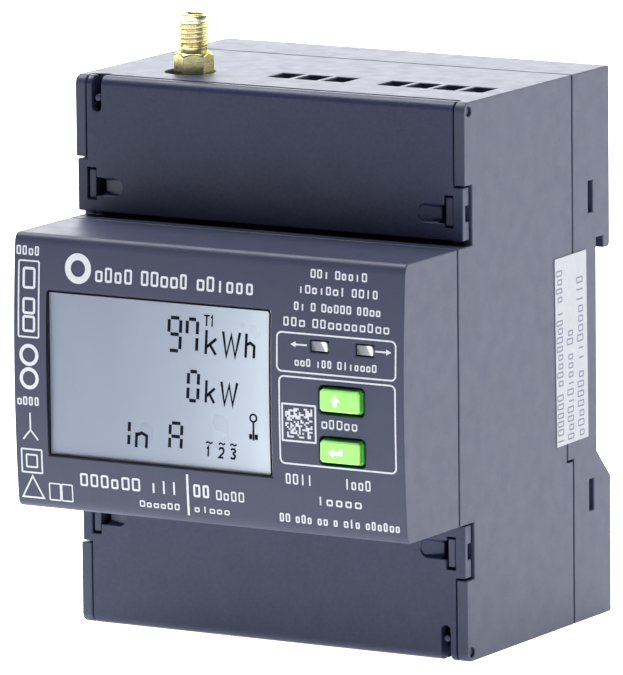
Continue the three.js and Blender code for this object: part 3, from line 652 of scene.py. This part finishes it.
def film_surface():
    """Matt grey-white label film with a faint fibre."""
    surface = Surface("label_film", 0.5)
    colour = rgb("aaabb1")
    fibre = surface.noise(0.7, 4, stretch=(1, 1, 0.4))
    surface.colour(surface.ramp(fibre, (0.3, tinted(colour, 0.95)), (0.7, tinted(colour, 1.02))))
    surface.roughness(surface.range(surface.noise(2), 0.42, 0.58))
    surface.bump((fibre, 0.25, 0.006), (surface.noise(6, 2), 0.2, 0.05))
    return surface.material


HOUSING = moulded("housing_plastic", "31374f", 0.5, mottle=0.06)
COVER = moulded(
    "cover_plastic", "272e4a", 0.42, grain=0.4, grain_depth=0.04, mottle=0.12, Specular_IOR_Level=0.4
)
DARK_BLOCK = moulded("block_plastic", "2a2d3a", 0.52)
BLACK = moulded("black_plastic", "17181d", 0.45)
WHITE = moulded("white_plastic", "e3e6ea", 0.4, mottle=0.03)
PALE_INK = ink("pale_ink", "d5d8e0")
WHITE_INK = ink("white_ink", "f6fbf2")
GREY_INK = ink("grey_ink", "6a7080")
LCD = lcd_surface()
LCD_INK = ink("lcd_segment", "060a18", Specular_IOR_Level=0.1)
# A near-black for the line round the display window: painted shade of the gap round it.
GAP_SHADE_INK = ink("painted_gap_shade", "05060b", Specular_IOR_Level=0.1)
CLEAR = clear_surface()
GUIDE = light_guide_surface()
LIME = button_surface("lime_plastic", "a4ee7c")
# A darker copy of the lime plastic for the buttons' sides: painted shade.
SHADED_LIME = button_surface("lime_plastic_painted_shade", "55b048")
GOLD = plated("gold_plate", "fbf1bd", 0.28, dark="dfd59b", edge="b9ad70")
# A darker copy of the gold plate for the nut: painted shade, standing in for the dark reflections on its
# facets.
SHADED_GOLD = plated("gold_plate_painted_shade", "ddd39f", 0.26, dark="a89f6c", edge="b9ad70")
STEEL = plated("steel", "c3c6cb", 0.28)
BOARD = board_surface()
WINDING = winding_surface()
FILM = film_surface()


# ---- Housing -------------------------------------------------------------------------------------


def build_housing():
    softened("rear_base", HOUSING, 0.22)
    softened("main_housing", HOUSING, 0.2)
    softened("front_hood", HOUSING, 0.25, 3)
    softened("upper_terminal_cover", COVER, 0.16)
    softened("lower_terminal_cover", COVER, 0.16)
    softened("rail_latch", DARK_BLOCK, 0.2)


# ---- Display -------------------------------------------------------------------------------------

# The ends of each segment of a digit, in a box from 0 to 1.
SEGMENTS = {
    "a": ((0, 1), (1, 1)),
    "b": ((1, 1), (1, 0.5)),
    "c": ((1, 0.5), (1, 0)),
    "d": ((0, 0), (1, 0)),
    "e": ((0, 0.5), (0, 0)),
    "f": ((0, 1), (0, 0.5)),
    "g": ((0, 0.5), (1, 0.5)),
}
# The segments that are lit in each digit.
DIGITS = {"0": "abcdef", "1": "bc", "7": "abcf", "9": "abcdfg", "A": "abcefg"}
# The strokes of each unit sign, in a box from 0 to 1.
SIGNS = {
    "k": [[(0, 0), (0, 1)], [(1, 0.66), (0.08, 0.3)], [(0.36, 0.42), (1, 0)]],
    "W": [[(0, 1), (0.24, 0), (0.5, 0.86), (0.76, 0), (1, 1)]],
    "h": [[(0, 0), (0, 1)], [(0, 0.52), (0.5, 0.62), (1, 0.5), (1, 0)]],
    "n": [[(0, 0), (0, 1)], [(0, 0.82), (0.5, 1), (1, 0.82), (1, 0)]],
    "T": [[(0, 1), (1, 1)], [(0.5, 1), (0.5, 0)]],
    "one": [[(0.15, 0.78), (0.5, 1), (0.5, 0)]],
    "two": [[(0, 0.8), (0.25, 1), (0.75, 1), (1, 0.78), (0.9, 0.5), (0, 0), (1, 0)]],
    "three": [
        [(0, 0.88), (0.3, 1), (0.8, 0.98), (1, 0.76), (0.45, 0.54)],
        [(0.45, 0.54), (1, 0.3), (0.8, 0.02), (0.3, 0), (0, 0.12)],
    ],
}
SLANT = 0.06  # digits lean right by this share of their height
SEGMENT_GAP = 0.55  # how far a segment stops short of its corners, in widths of its line

# All digits and signs shown, as (name, left, right, low, high, width of a line), in mm.
DISPLAY_ROWS = [
    ("9", -7.43, -5.28, 50.1, 55.4, 0.56),
    ("7", -4.08, -2.18, 50.1, 55.4, 0.56),
    ("k", -0.48, 1.37, 50.0, 53.9, 0.47),
    ("W", 2.57, 5.67, 50.0, 53.9, 0.47),
    ("h", 6.87, 8.37, 50.0, 53.9, 0.47),
    ("T", -0.8, 0.25, 54.5, 56.2, 0.28),
    ("one", 0.45, 1.05, 54.5, 56.2, 0.28),
    ("0", -3.93, -2.08, 42.3, 47.0, 0.56),
    ("k", -0.58, 0.97, 42.2, 45.8, 0.45),
    ("W", 2.17, 5.07, 42.2, 45.8, 0.45),
    ("1", -15.73, -15.03, 33.95, 38.2, 0.56),
    ("n", -13.63, -11.73, 33.9, 36.3, 0.5),
    ("A", -7.43, -5.28, 34.1, 38.4, 0.54),
    ("one", -0.63, 0.12, 33.55, 35.1, 0.32),
    ("two", 1.75, 2.6, 33.55, 35.1, 0.32),
    ("three", 3.9, 4.75, 33.55, 35.1, 0.32),
]


def sign(name, left, right, low, high, line):
    """One digit or unit sign in a box."""

    def place(point):
        u, v = point
        return (left + (right - left) * u + SLANT * (high - low) * v, low + (high - low) * v)

    if name in SIGNS:
        return [quad for path in SIGNS[name] for quad in stroke([place(p) for p in path], line)]
    shapes = []
    for letter in DIGITS[name]:
        start, end = (Vector(place(p)) for p in SEGMENTS[letter])
        along = (end - start).normalized() * line * SEGMENT_GAP
        shapes += stroke([tuple(start + along), tuple(end - along)], line)
    return shapes


def display_signs():
    """All that the display shows: two readings with their units, a row of phases and a key."""
    shapes = [quad for row in DISPLAY_ROWS for quad in sign(*row)]
    low, high = 35.65, 35.9  # the small waves over the phases
    for x in (0.0, 2.35, 4.45):
        shapes += stroke([(x - 0.6, low), (x - 0.25, high), (x + 0.25, low), (x + 0.6, high)], 0.26)
    key_x = 8.17
    shapes += ring(key_x, 40.4, 0.6, 0.3)
    shapes += stroke([(key_x, 39.8), (key_x, 36.8)], 0.34)
    for tooth in (key_x - 0.52, key_x + 0.52):
        shapes += rectangle(tooth - 0.28, tooth + 0.28, 36.95, 37.8)
    return shapes


def build_display():
    """The panel, the window, the signs on the panel, and a dark line painted round the window's edge as the
    shade of the gap round it.
    """
    softened("lcd_panel", LCD, 0.08, 1)
    softened("display_window", CLEAR, 0.12, 2, angle=40)
    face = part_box("lcd_panel")[0].y
    signs = display_signs()
    printed("display_segments", signs, LCD_INK, "lcd_panel", surface=lambda z: face, lift=0.02)
    low, high = (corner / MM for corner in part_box("display_window"))
    # A dark line of painted shade, for the shaded gap round the window.
    gap_shade_half_width = 0.15
    outline = frame_line(low.x, high.x, low.z, high.z, 0.5, 2 * gap_shade_half_width)
    printed("display_gap_shade", outline, GAP_SHADE_INK, "display_window", lift=0.005)


# ---- Front print ---------------------------------------------------------------------------------

# Lines of print as (left, right, low, high, groups of marks, width of a stroke), in mm.
PRINT_LINES = [
    (-20.65, 9.1, 60.15, 62.55, (4, 5, 6), 0.36),
    (19.0, 29.5, 63.75, 65.15, (3, 5), 0.25),
    (16.8, 31.6, 61.2, 62.55, (7, 4), 0.25),
    (16.1, 32.1, 58.45, 59.8, (2, 1, 5, 4), 0.25),
    (14.2, 33.8, 55.85, 57.3, (3, 10), 0.25),
    (16.3, 31.4, 49.6, 50.85, (3, 3, 7), 0.23),
    (21.1, 28.0, 40.0, 41.45, (5,), 0.23),
    (14.3, 19.55, 30.5, 32.2, (4,), 0.25),
    (25.0, 30.1, 30.5, 32.2, (4,), 0.25),
    (19.9, 28.5, 27.5, 28.9, (5,), 0.27),
    (12.9, 35.1, 24.25, 25.65, (2, 3, 2, 1, 3, 6), 0.25),
    (-24.0, -5.2, 26.8, 28.9, (6, 3), 0.32),
    (-2.9, 0.6, 26.8, 28.9, (2,), 0.36),
    (1.3, 6.85, 26.7, 28.3, (4,), 0.24),
    (-13.0, -5.2, 24.35, 25.4, (6,), 0.22),
    (-2.8, 4.1, 24.35, 25.4, (5,), 0.22),
]
LINE = 0.27  # width of a printed line, mm


def code_square(left, right, low, high, cells, seed):
    """A square of scattered cells in a frame. It holds no code."""
    draw = random.Random(seed)
    inset = 0.55
    fill = 0.96  # share of its place that a cell fills
    step_x = (right - left - 2 * inset) / cells
    step_z = (high - low - 2 * inset) / cells
    shapes = frame_line(left, right, low, high, 0.05, 0.3)
    for i in range(cells):
        for j in range(cells):
            if draw.random() < 0.5:
                x = left + inset + i * step_x
                z = low + inset + j * step_z
                shapes += rectangle(x, x + step_x * fill, z, z + step_z * fill)
    return shapes


def left_column():
    """The narrow column of plain marks at the left edge of the front."""
    middle = -33.05
    shapes = word_blocks(-35.5, -30.9, 63.5, 65.0, (4,), 0.25, seed=21)
    shapes += frame_line(-35.0, -31.2, 50.3, 62.6, 0.25, LINE)
    for low, high in ((51.3, 53.6), (54.2, 56.5), (58.3, 61.4)):
        shapes += frame_line(middle - 1.0, middle + 1.0, low, high, 0.3, 0.42)
    shapes += ring(middle, 47.4, 1.5, 0.6)
    shapes += ring(middle, 43.6, 1.5, 0.6)
    shapes += word_blocks(-35.4, -31.0, 39.2, 40.6, (4,), 0.25, seed=23)
    shapes += stroke([(middle, 38.0), (middle, 35.2), (middle + 1.4, 33.6)], LINE)
    shapes += stroke([(middle - 1.4, 33.6), (middle - 0.13, 35.05)], LINE)
    shapes += frame_line(-34.9, -31.1, 28.2, 32.0, 0.1, LINE)
    shapes += frame_line(-34.0, -32.0, 29.1, 31.1, 0.1, LINE)
    shapes += stroke([(-35.0, 24.1), (-31.0, 24.1), (-33.0, 27.6)], LINE, closed=True)
    shapes += frame_line(-29.9, -27.85, 24.0, 26.7, 0.15, LINE * 0.8)
    shapes += frame_line(-27.6, -25.6, 24.0, 26.7, 0.15, LINE * 0.8)
    return shapes


def build_front_print():
    """The lines of print, the frames, arrows and signs, and the square of scattered cells."""
    lines = [word_blocks(*line, seed=seed) for seed, line in enumerate(PRINT_LINES)]
    text = [quad for line in lines for quad in line]
    printed("front_print_lines", text, PALE_INK, "front_hood")

    level = centre_of("pulse_window_left").z / MM
    frames = frame_line(13.05, 34.6, 48.6, 54.8, 0.85, LINE)
    frames += frame_line(13.45, 34.5, 33.8, 47.8, 0.85, LINE)
    for tip, tail in ((15.5, 18.5), (33.85, 30.95)):
        frames += arrow((tip, level), (tail, level), 0.28, 0.95, 0.95)
    frames += stroke([(-3.95, 23.7), (-3.95, 30.4)], 0.4)
    frames += ring(-23.9, 62.0, 1.9, 1.1)
    frames += left_column()
    printed("front_print_frames", frames, PALE_INK, "front_hood")
    code = code_square(13.95, 20.0, 37.5, 43.4, cells=16, seed=5)
    printed("front_print_code", code, PALE_INK, "front_hood")


# ---- Buttons and pulse lights --------------------------------------------------------------------


def clipped_outline(x, z, width, height, clip):
    """The points of a rectangle with its corners cut off."""
    a, b = width / 2, height / 2
    quarter = [(a, b - clip), (a - clip, b)]
    mirrored = [(-u, v) for u, v in reversed(quarter)]
    upper = quarter + mirrored
    return [(x + u, z + v) for u, v in upper + [(-u, -v) for u, v in upper]]


def stacked(layers, outline):
    """A closed solid through layers of (y, margin) in mm, where outline(margin) gives a layer's points."""
    shape = bmesh.new()
    rings = [[shape.verts.new((u * MM, y * MM, v * MM)) for u, v in outline(margin)] for y, margin in layers]
    for first, second in zip(rings, rings[1:]):
        for i in range(len(first)):
            j = (i + 1) % len(first)
            shape.faces.new([first[i], first[j], second[j], second[i]])
    shape.faces.new(rings[0])
    shape.faces.new(rings[-1])
    return shape


FLANGE = 0.9  # how far a button's flange stands out all round, mm
STEM = (3, 2)  # width and height of the stem behind a button, mm
STEM_START = 4.5  # the stem starts this far behind the face, inside the flange, mm
PAINTED_SHADE_DEPTH = 0.3  # a button's sides, painted darker as shade, start this far behind its face, mm
# A button from its flange to its face, as (depth behind the face, margin round the body), mm.
BUTTON_LAYERS = [
    (5.1, FLANGE - 0.1),
    (5.0, FLANGE),
    (4.1, FLANGE),
    (4.0, FLANGE - 0.1),
    (4.0, 0),
    (1.15, 0),
    (0.95, -0.16),
    (0.36, -0.18),
    (0.12, -0.28),
    (0.02, -0.46),
    (0, -0.58),
]


def button_mesh(node):
    """A button: flange, body and slightly narrower cap with an eased edge, and the stem behind."""
    low, high = (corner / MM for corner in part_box(node))
    middle = (low + high) / 2
    width, height = high.x - low.x - 2 * FLANGE, high.z - low.z - 2 * FLANGE

    def outline(margin):
        clip = max(0.45 + 0.3 * margin, 0.3)
        return clipped_outline(middle.x, middle.z, width + 2 * margin, height + 2 * margin, clip)

    def stem_outline(margin):
        return clipped_outline(middle.x, middle.z, STEM[0] + 2 * margin, STEM[1] + 2 * margin, 0.2)

    body = stacked([(low.y + depth, margin) for depth, margin in BUTTON_LAYERS], outline)
    ease = 0.15
    stem_layers = [(high.y, -ease), (high.y - ease, 0), (low.y + STEM_START, 0)]
    stem = mesh_of(stacked(stem_layers, stem_outline), "stem")
    body.from_mesh(stem)
    bpy.data.meshes.remove(stem)
    return mesh_of(body)


def build_button(name):
    """A button with its sides painted darker as shade, its switch and the plunger that rides with it."""
    node = name + "_button"
    button = piece(node + "_finish", button_mesh(node), LIME, node)
    button.data.materials.append(SHADED_LIME)
    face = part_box(node)[0].y
    # Faces set back from the button's face take the darker copy: painted shade on its sides.
    for polygon in button.data.polygons:
        if polygon.center.y > face + PAINTED_SHADE_DEPTH * MM:
            polygon.material_index = 1
    rounded(button, 0.06, 2, 30)
    softened(name + "_switch", BLACK, 0.15)
    low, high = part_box(name + "_switch_plunger")
    radius = (high.x - low.x) / 2 / MM
    length = (high.y - low.y) / MM
    ease = 0.2
    profile = [(0, 0), (radius, 0), (radius, length - ease), (radius - ease, length), (0, length)]
    back = Vector(((low.x + high.x) / 2, high.y, centre_of(node).z))
    plunger = revolved(profile, back, 32, axis="y")
    rounded(piece(name + "_plunger_finish", plunger, STEEL, name + "_switch_plunger"), 0.05)


def build_buttons():
    for name in ("up", "enter"):
        build_button(name)

    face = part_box("up_button")[0].y
    x = centre_of("up_button").x / MM - 0.7
    z = centre_of("up_button").z / MM
    up = arrow((x, z + 0.95), (x, z - 0.95), 0.8, 1.0, 1.8)
    printed("up_arrow", up, WHITE_INK, "up_button", surface=lambda z: face, lift=0.02)

    level = centre_of("enter_button").z / MM - 0.15
    neck = x - 0.35
    enter = stroke([(x + 1.0, level + 0.8), (x + 1.0, level), (neck, level)], 0.66)
    enter.append([(neck - 1.0, level), (neck, level - 0.75), (neck, level + 0.75)])
    printed("enter_arrow", enter, WHITE_INK, "enter_button", surface=lambda z: face, lift=0.02)


def build_pulse_lights():
    for side in ("left", "right"):
        softened("pulse_window_" + side, GUIDE, 0.12, 2)
        softened("pulse_light_" + side, WHITE, 0.12)


# ---- Side label ----------------------------------------------------------------------------------


def build_label():
    """A film on the right side, stuck on slightly askew, with three lines of upright print."""
    low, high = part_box("rating_label")
    film = 0.1 * MM
    lift = 0.01 * MM
    tilt = math.radians(1.0)
    margin_y, margin_z = 0.5 * MM, 0.2 * MM  # room in the label's box for its tilt
    centre = (low + high) / 2
    size = Vector((film, high.y - low.y - margin_y, high.z - low.z - margin_z))
    shape = bmesh.new()
    bmesh.ops.create_cube(shape, size=1)
    bmesh.ops.scale(shape, verts=shape.verts[:], vec=size)
    bmesh.ops.rotate(shape, verts=shape.verts[:], matrix=Matrix.Rotation(tilt, 3, "X"))
    bmesh.ops.translate(shape, verts=shape.verts[:], vec=(low.x + film / 2, centre.y, centre.z))
    label = piece("rating_label_finish", mesh_of(shape), FILM, "rating_label")
    rounded(label, 0.03, 2)

    # Lines of print as (place across the label, low, high, height of the blocks, groups), in mm.
    lines = [
        (-3.95, -15.1, 13.8, 2.1, (6, 9, 4)),
        (-0.6, -14.8, 3.6, 2.1, (10, 2)),
        (2.85, -14.8, 11.9, 2.1, (7, 9)),
    ]
    shape = bmesh.new()
    for seed, (across, start, end, tall, groups) in enumerate(lines):
        for points in word_blocks(start, end, -tall / 2, tall / 2, groups, 0.26, seed=40 + seed):
            corners = [(low.x + film + lift, (across - v) * MM, u * MM) for u, v in points]
            shape.faces.new([shape.verts.new(corner) for corner in corners])
    bmesh.ops.rotate(shape, verts=shape.verts[:], matrix=Matrix.Rotation(tilt, 3, "X"))
    bmesh.ops.translate(shape, verts=shape.verts[:], vec=(0, centre.y, centre.z))
    text = piece("rating_label_print", mesh_of(shape), GREY_INK, "rating_label", replaces=False)
    thickened(text, Vector((1, 0, 0)), 2 * lift)


# ---- Antenna jack --------------------------------------------------------------------------------

HEX_LOW, HEX_HIGH = 87.8, 93.2  # the jack's hexagon, mm
THREAD = {"low": 94.15, "high": 98.35, "root": 2.12, "crest": 2.44, "pitch": 0.76}
THREAD_FADE = (0.35, 0.3)  # heights in which the thread grows from nothing at its low and high end, mm
JACK_BORE = 1.6
MOUTH_DEPTH = 1.1  # of the jack's open mouth, mm
JOIN = 0.2  # how far the jack's foot and its hexagon run into each other, mm


def hexagon_mesh(axis, corner):
    """The jack's hexagon, with flats that face +X and -X and a turned chamfer on its top."""
    apothem = corner * math.cos(math.radians(30))

    def flats(turn, radius, height):
        off = (turn * 360 + 30) % 60 - 30
        return min(radius, apothem / math.cos(math.radians(off)))

    steps = 6
    chamfer = 0.6
    inset = 0.12  # how far the top of the chamfer lies inside the flats
    profile = [(0, HEX_LOW), (corner, HEX_LOW)]
    for i in range(steps + 1):
        share = i / steps
        radius = corner - (corner - apothem + inset) * share**1.5
        profile.append((radius, HEX_HIGH - chamfer * (1 - share)))
    profile.append((0, HEX_HIGH))
    return revolved(profile, axis, 72, flats)


def barrel_mesh(axis, top):
    """The threaded barrel with a plain collar, a plain neck and a rim round its open mouth."""
    low, high = THREAD["low"], THREAD["high"]
    root, crest = THREAD["root"], THREAD["crest"]

    def thread(turn, radius, height):
        """A helical thread that fades in and out at its ends."""
        if radius != crest:
            return radius
        phase = ((height - low) / THREAD["pitch"] - turn) % 1
        ridge = 1 - abs(2 * phase - 1)
        fade = max(min((height - low) / THREAD_FADE[0], (high - height) / THREAD_FADE[1], 1), 0)
        return root + (crest - root) * min(2 * ridge, 1) * fade

    rows = 72
    profile = [(0, HEX_HIGH - 0.6), (root, HEX_HIGH - 0.6), (root, low - 0.05)]
    profile += [(crest, low + (high - low) * i / rows) for i in range(rows + 1)]
    profile += [
        (root, high + 0.06),
        (root, top - 0.44),
        (root + 0.06, top - 0.36),
        (root + 0.08, top - 0.28),
        (root + 0.08, top - 0.12),
        (root + 0.02, top),
        (JACK_BORE + 0.1, top),
        (JACK_BORE, top - 0.12),
        (JACK_BORE, top - MOUTH_DEPTH),
        (0, top - MOUTH_DEPTH),
    ]
    return revolved(profile, axis, 64, thread)


def foot_mesh(axis, low):
    """The square foot under the hexagon, down to the radio board's height."""
    side = 3.8
    high = HEX_LOW + JOIN
    foot = bmesh.new()
    bmesh.ops.create_cube(foot, size=MM)
    bmesh.ops.scale(foot, verts=foot.verts[:], vec=(side, side, high - low))
    bmesh.ops.translate(foot, verts=foot.verts[:], vec=(axis.x, axis.y, (low + high) / 2 * MM))
    return mesh_of(foot)


def build_jack():
    """The jack's nut, barrel and foot, and the insulator and contact tube in its mouth."""
    low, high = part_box("antenna_jack")
    middle = centre_of("antenna_insulator")
    axis = Vector((middle.x, middle.y, 0))
    nut = hexagon_mesh(axis, (high.y - low.y) / 2 / MM)
    barrel = barrel_mesh(axis, high.z / MM)
    foot = foot_mesh(axis, low.z / MM)
    rounded(piece("antenna_jack_nut", nut, SHADED_GOLD, "antenna_jack"), 0.07, 2, 28)
    evened(piece("antenna_jack_barrel", barrel, GOLD, "antenna_jack"))
    rounded(piece("antenna_jack_foot", foot, GOLD, "antenna_jack"), 0.2, 2, 28)

    for node, material, inner in (("antenna_insulator", WHITE, 0.64), ("antenna_contact", GOLD, 0.3)):
        node_low, node_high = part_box(node)
        outer = (node_high.x - node_low.x) / 2 / MM
        base, tip = node_low.z / MM, node_high.z / MM
        profile = [
            (inner, base + 1),
            (outer, base + 1),
            (outer, tip - 0.1),
            (outer - 0.08, tip),
            (inner + 0.05, tip),
            (inner, tip - 0.06),
        ]
        rounded(piece(node + "_finish", revolved(profile, axis, 40), material, node), 0.02, 1)


# ---- Terminals -----------------------------------------------------------------------------------


def build_terminals():
    for block in ("signal_terminal_block_3_way", "signal_terminal_block_4_way", "mains_terminal_block"):
        softened(block, DARK_BLOCK, 0.12, 1)
    for node in sorted(NODES):
        if "terminal_screw" in node:
            softened(node, STEEL, 0.1, 2, angle=35)


# ---- Inside --------------------------------------------------------------------------------------


def build_inside():
    """The boards, transformers and other parts that show only when a cover is open or a part is off."""
    for node in ("display_board", "metering_board", "riser_board", "radio_board"):
        softened(node, BOARD, 0.08, 1)
    for node in sorted(NODES):
        if "_transformer" in node:
            softened(node, WINDING, 0.3, 2)
    softened("radio_shield", STEEL, 0.15)
    softened("filter_capacitor", BLACK, 0.3, 2)
    softened("lcd_backlight", WHITE, 0.15)
    softened("display_carrier", BLACK, 0.15)


def build_spring():
    """The latch's coil spring, made at its rest length; nothing here shortens it by the latch's travel."""
    low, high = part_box("latch_spring")
    middle = (low + high) / 2
    wire = 0.22  # radius of its wire, mm
    radius = (high.x - low.x) / 2 / MM - wire
    mesh = coil(Vector((middle.x, middle.y, 0)), radius, wire, low.z / MM, high.z / MM, turns=6)
    mesh.shade_smooth()
    spring = piece("latch_spring_finish", mesh, STEEL, "latch_spring")
    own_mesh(spring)


# ---- Stage ---------------------------------------------------------------------------------------

# Angles in degrees, the distance in metres and the lens in mm.
CAMERA = {"azimuth": 30.436, "elevation": 9.752, "roll": -0.565, "distance": 1.502, "lens": 495.13}
AIM = Vector((-0.0022, 0.0034, 0.0470))  # the place that the camera and the lights face


def toward(azimuth, elevation):
    """The direction of a place seen at an azimuth and elevation. Azimuth 0 is in front."""
    a, e = math.radians(azimuth), math.radians(elevation)
    return Vector((math.sin(a) * math.cos(e), -math.cos(a) * math.cos(e), math.sin(e)))


def build_camera():
    """A long lens at the angle from which the meter is shown."""
    camera = bpy.data.objects.new("camera", bpy.data.cameras.new("camera"))
    bpy.context.scene.collection.objects.link(camera)
    camera.data.lens = CAMERA["lens"]
    camera.data.clip_start = 0.01
    camera.data.clip_end = 50
    direction = toward(CAMERA["azimuth"], CAMERA["elevation"])
    camera.location = AIM + direction * CAMERA["distance"]
    look = (-direction).to_track_quat("-Z", "Y").to_matrix()
    roll = Matrix.Rotation(math.radians(CAMERA["roll"]), 3, "Z")
    camera.rotation_euler = (look @ roll).to_euler()
    bpy.context.scene.camera = camera


FLOOR_SIZE = 6  # half the side of the floor, m
FLOOR_GAP = 0.02  # between the meter and the floor, mm
FLOOR_GLOW = (1.3, 0.1)  # the floor is a lit white table, so shadows on it stay pale
FLOOR_GLOW_END = (-120, -340)  # its light falls off between these places in front of the meter, mm


def build_floor():
    """A pale lit table with a faint cloud in its white."""
    shape = bmesh.new()
    bmesh.ops.create_grid(shape, x_segments=1, y_segments=1, size=FLOOR_SIZE)
    surface = Surface("studio_floor", 0.85)
    surface.set("Emission Color", (1, 1, 1, 1))
    glow = surface.range(surface.along("Y", *FLOOR_GLOW_END), *FLOOR_GLOW, 0, 1)
    surface.link(glow, surface.shader.inputs["Emission Strength"])
    surface.colour(surface.ramp(surface.noise(180, 2), (0.3, rgb("f6f7f9")), (0.7, rgb("fbfbfc"))))
    floor = bpy.data.objects.new("studio_floor", mesh_of(shape))
    floor.data.materials.append(surface.material)
    floor.location.z = CAD_BOX[0].z - FLOOR_GAP * MM
    bpy.context.scene.collection.objects.link(floor)


COOL = (0.96, 0.98, 1.0)  # the studio's light is slightly blue
WORLD_LIGHT = 0.12  # dim surroundings, so that the lit table and the panels shape the meter
# Soft panels as (name, azimuth, elevation, distance, width, height, radiance), in degrees and metres.
PANELS = [
    ("back_panel", 210, 18, 2.2, 2.8, 1.2, 5),
    ("side_panel", 140, 16, 2.2, 2.4, 1.6, 2.1),
    ("high_panel", 262, 57, 2.0, 1.1, 1.1, 9),
    ("top_panel", 0, 90, 2.0, 1.0, 1.0, 8),
]


def area_light(name, azimuth, elevation, distance, width, height, radiance):
    """A soft panel that faces the meter. Its power follows from how bright its face is to be."""
    light = bpy.data.lights.new(name, "AREA")
    light.shape = "RECTANGLE"
    light.size = width
    light.size_y = height
    light.energy = radiance * math.pi * width * height
    light.color = COOL
    made = bpy.data.objects.new(name, light)
    made.location = AIM + toward(azimuth, elevation) * distance
    made.rotation_euler = (AIM - made.location).to_track_quat("-Z", "Y").to_euler()
    made.visible_camera = False
    bpy.context.scene.collection.objects.link(made)


def build_lights():
    """The dim surroundings and the soft panels."""
    world = bpy.data.worlds.new("studio")
    world.use_nodes = True
    background = world.node_tree.nodes["Background"]
    background.inputs["Color"].default_value = (*COOL, 1)
    background.inputs["Strength"].default_value = WORLD_LIGHT
    bpy.context.scene.world = world
    bpy.context.scene.view_settings.view_transform = "Standard"
    for panel in PANELS:
        area_light(*panel)


build_housing()
build_display()
build_front_print()
build_buttons()
build_pulse_lights()
build_label()
build_jack()
build_terminals()
build_inside()
build_spring()
build_camera()
build_floor()
build_lights()

bpy.context.view_layer.update()
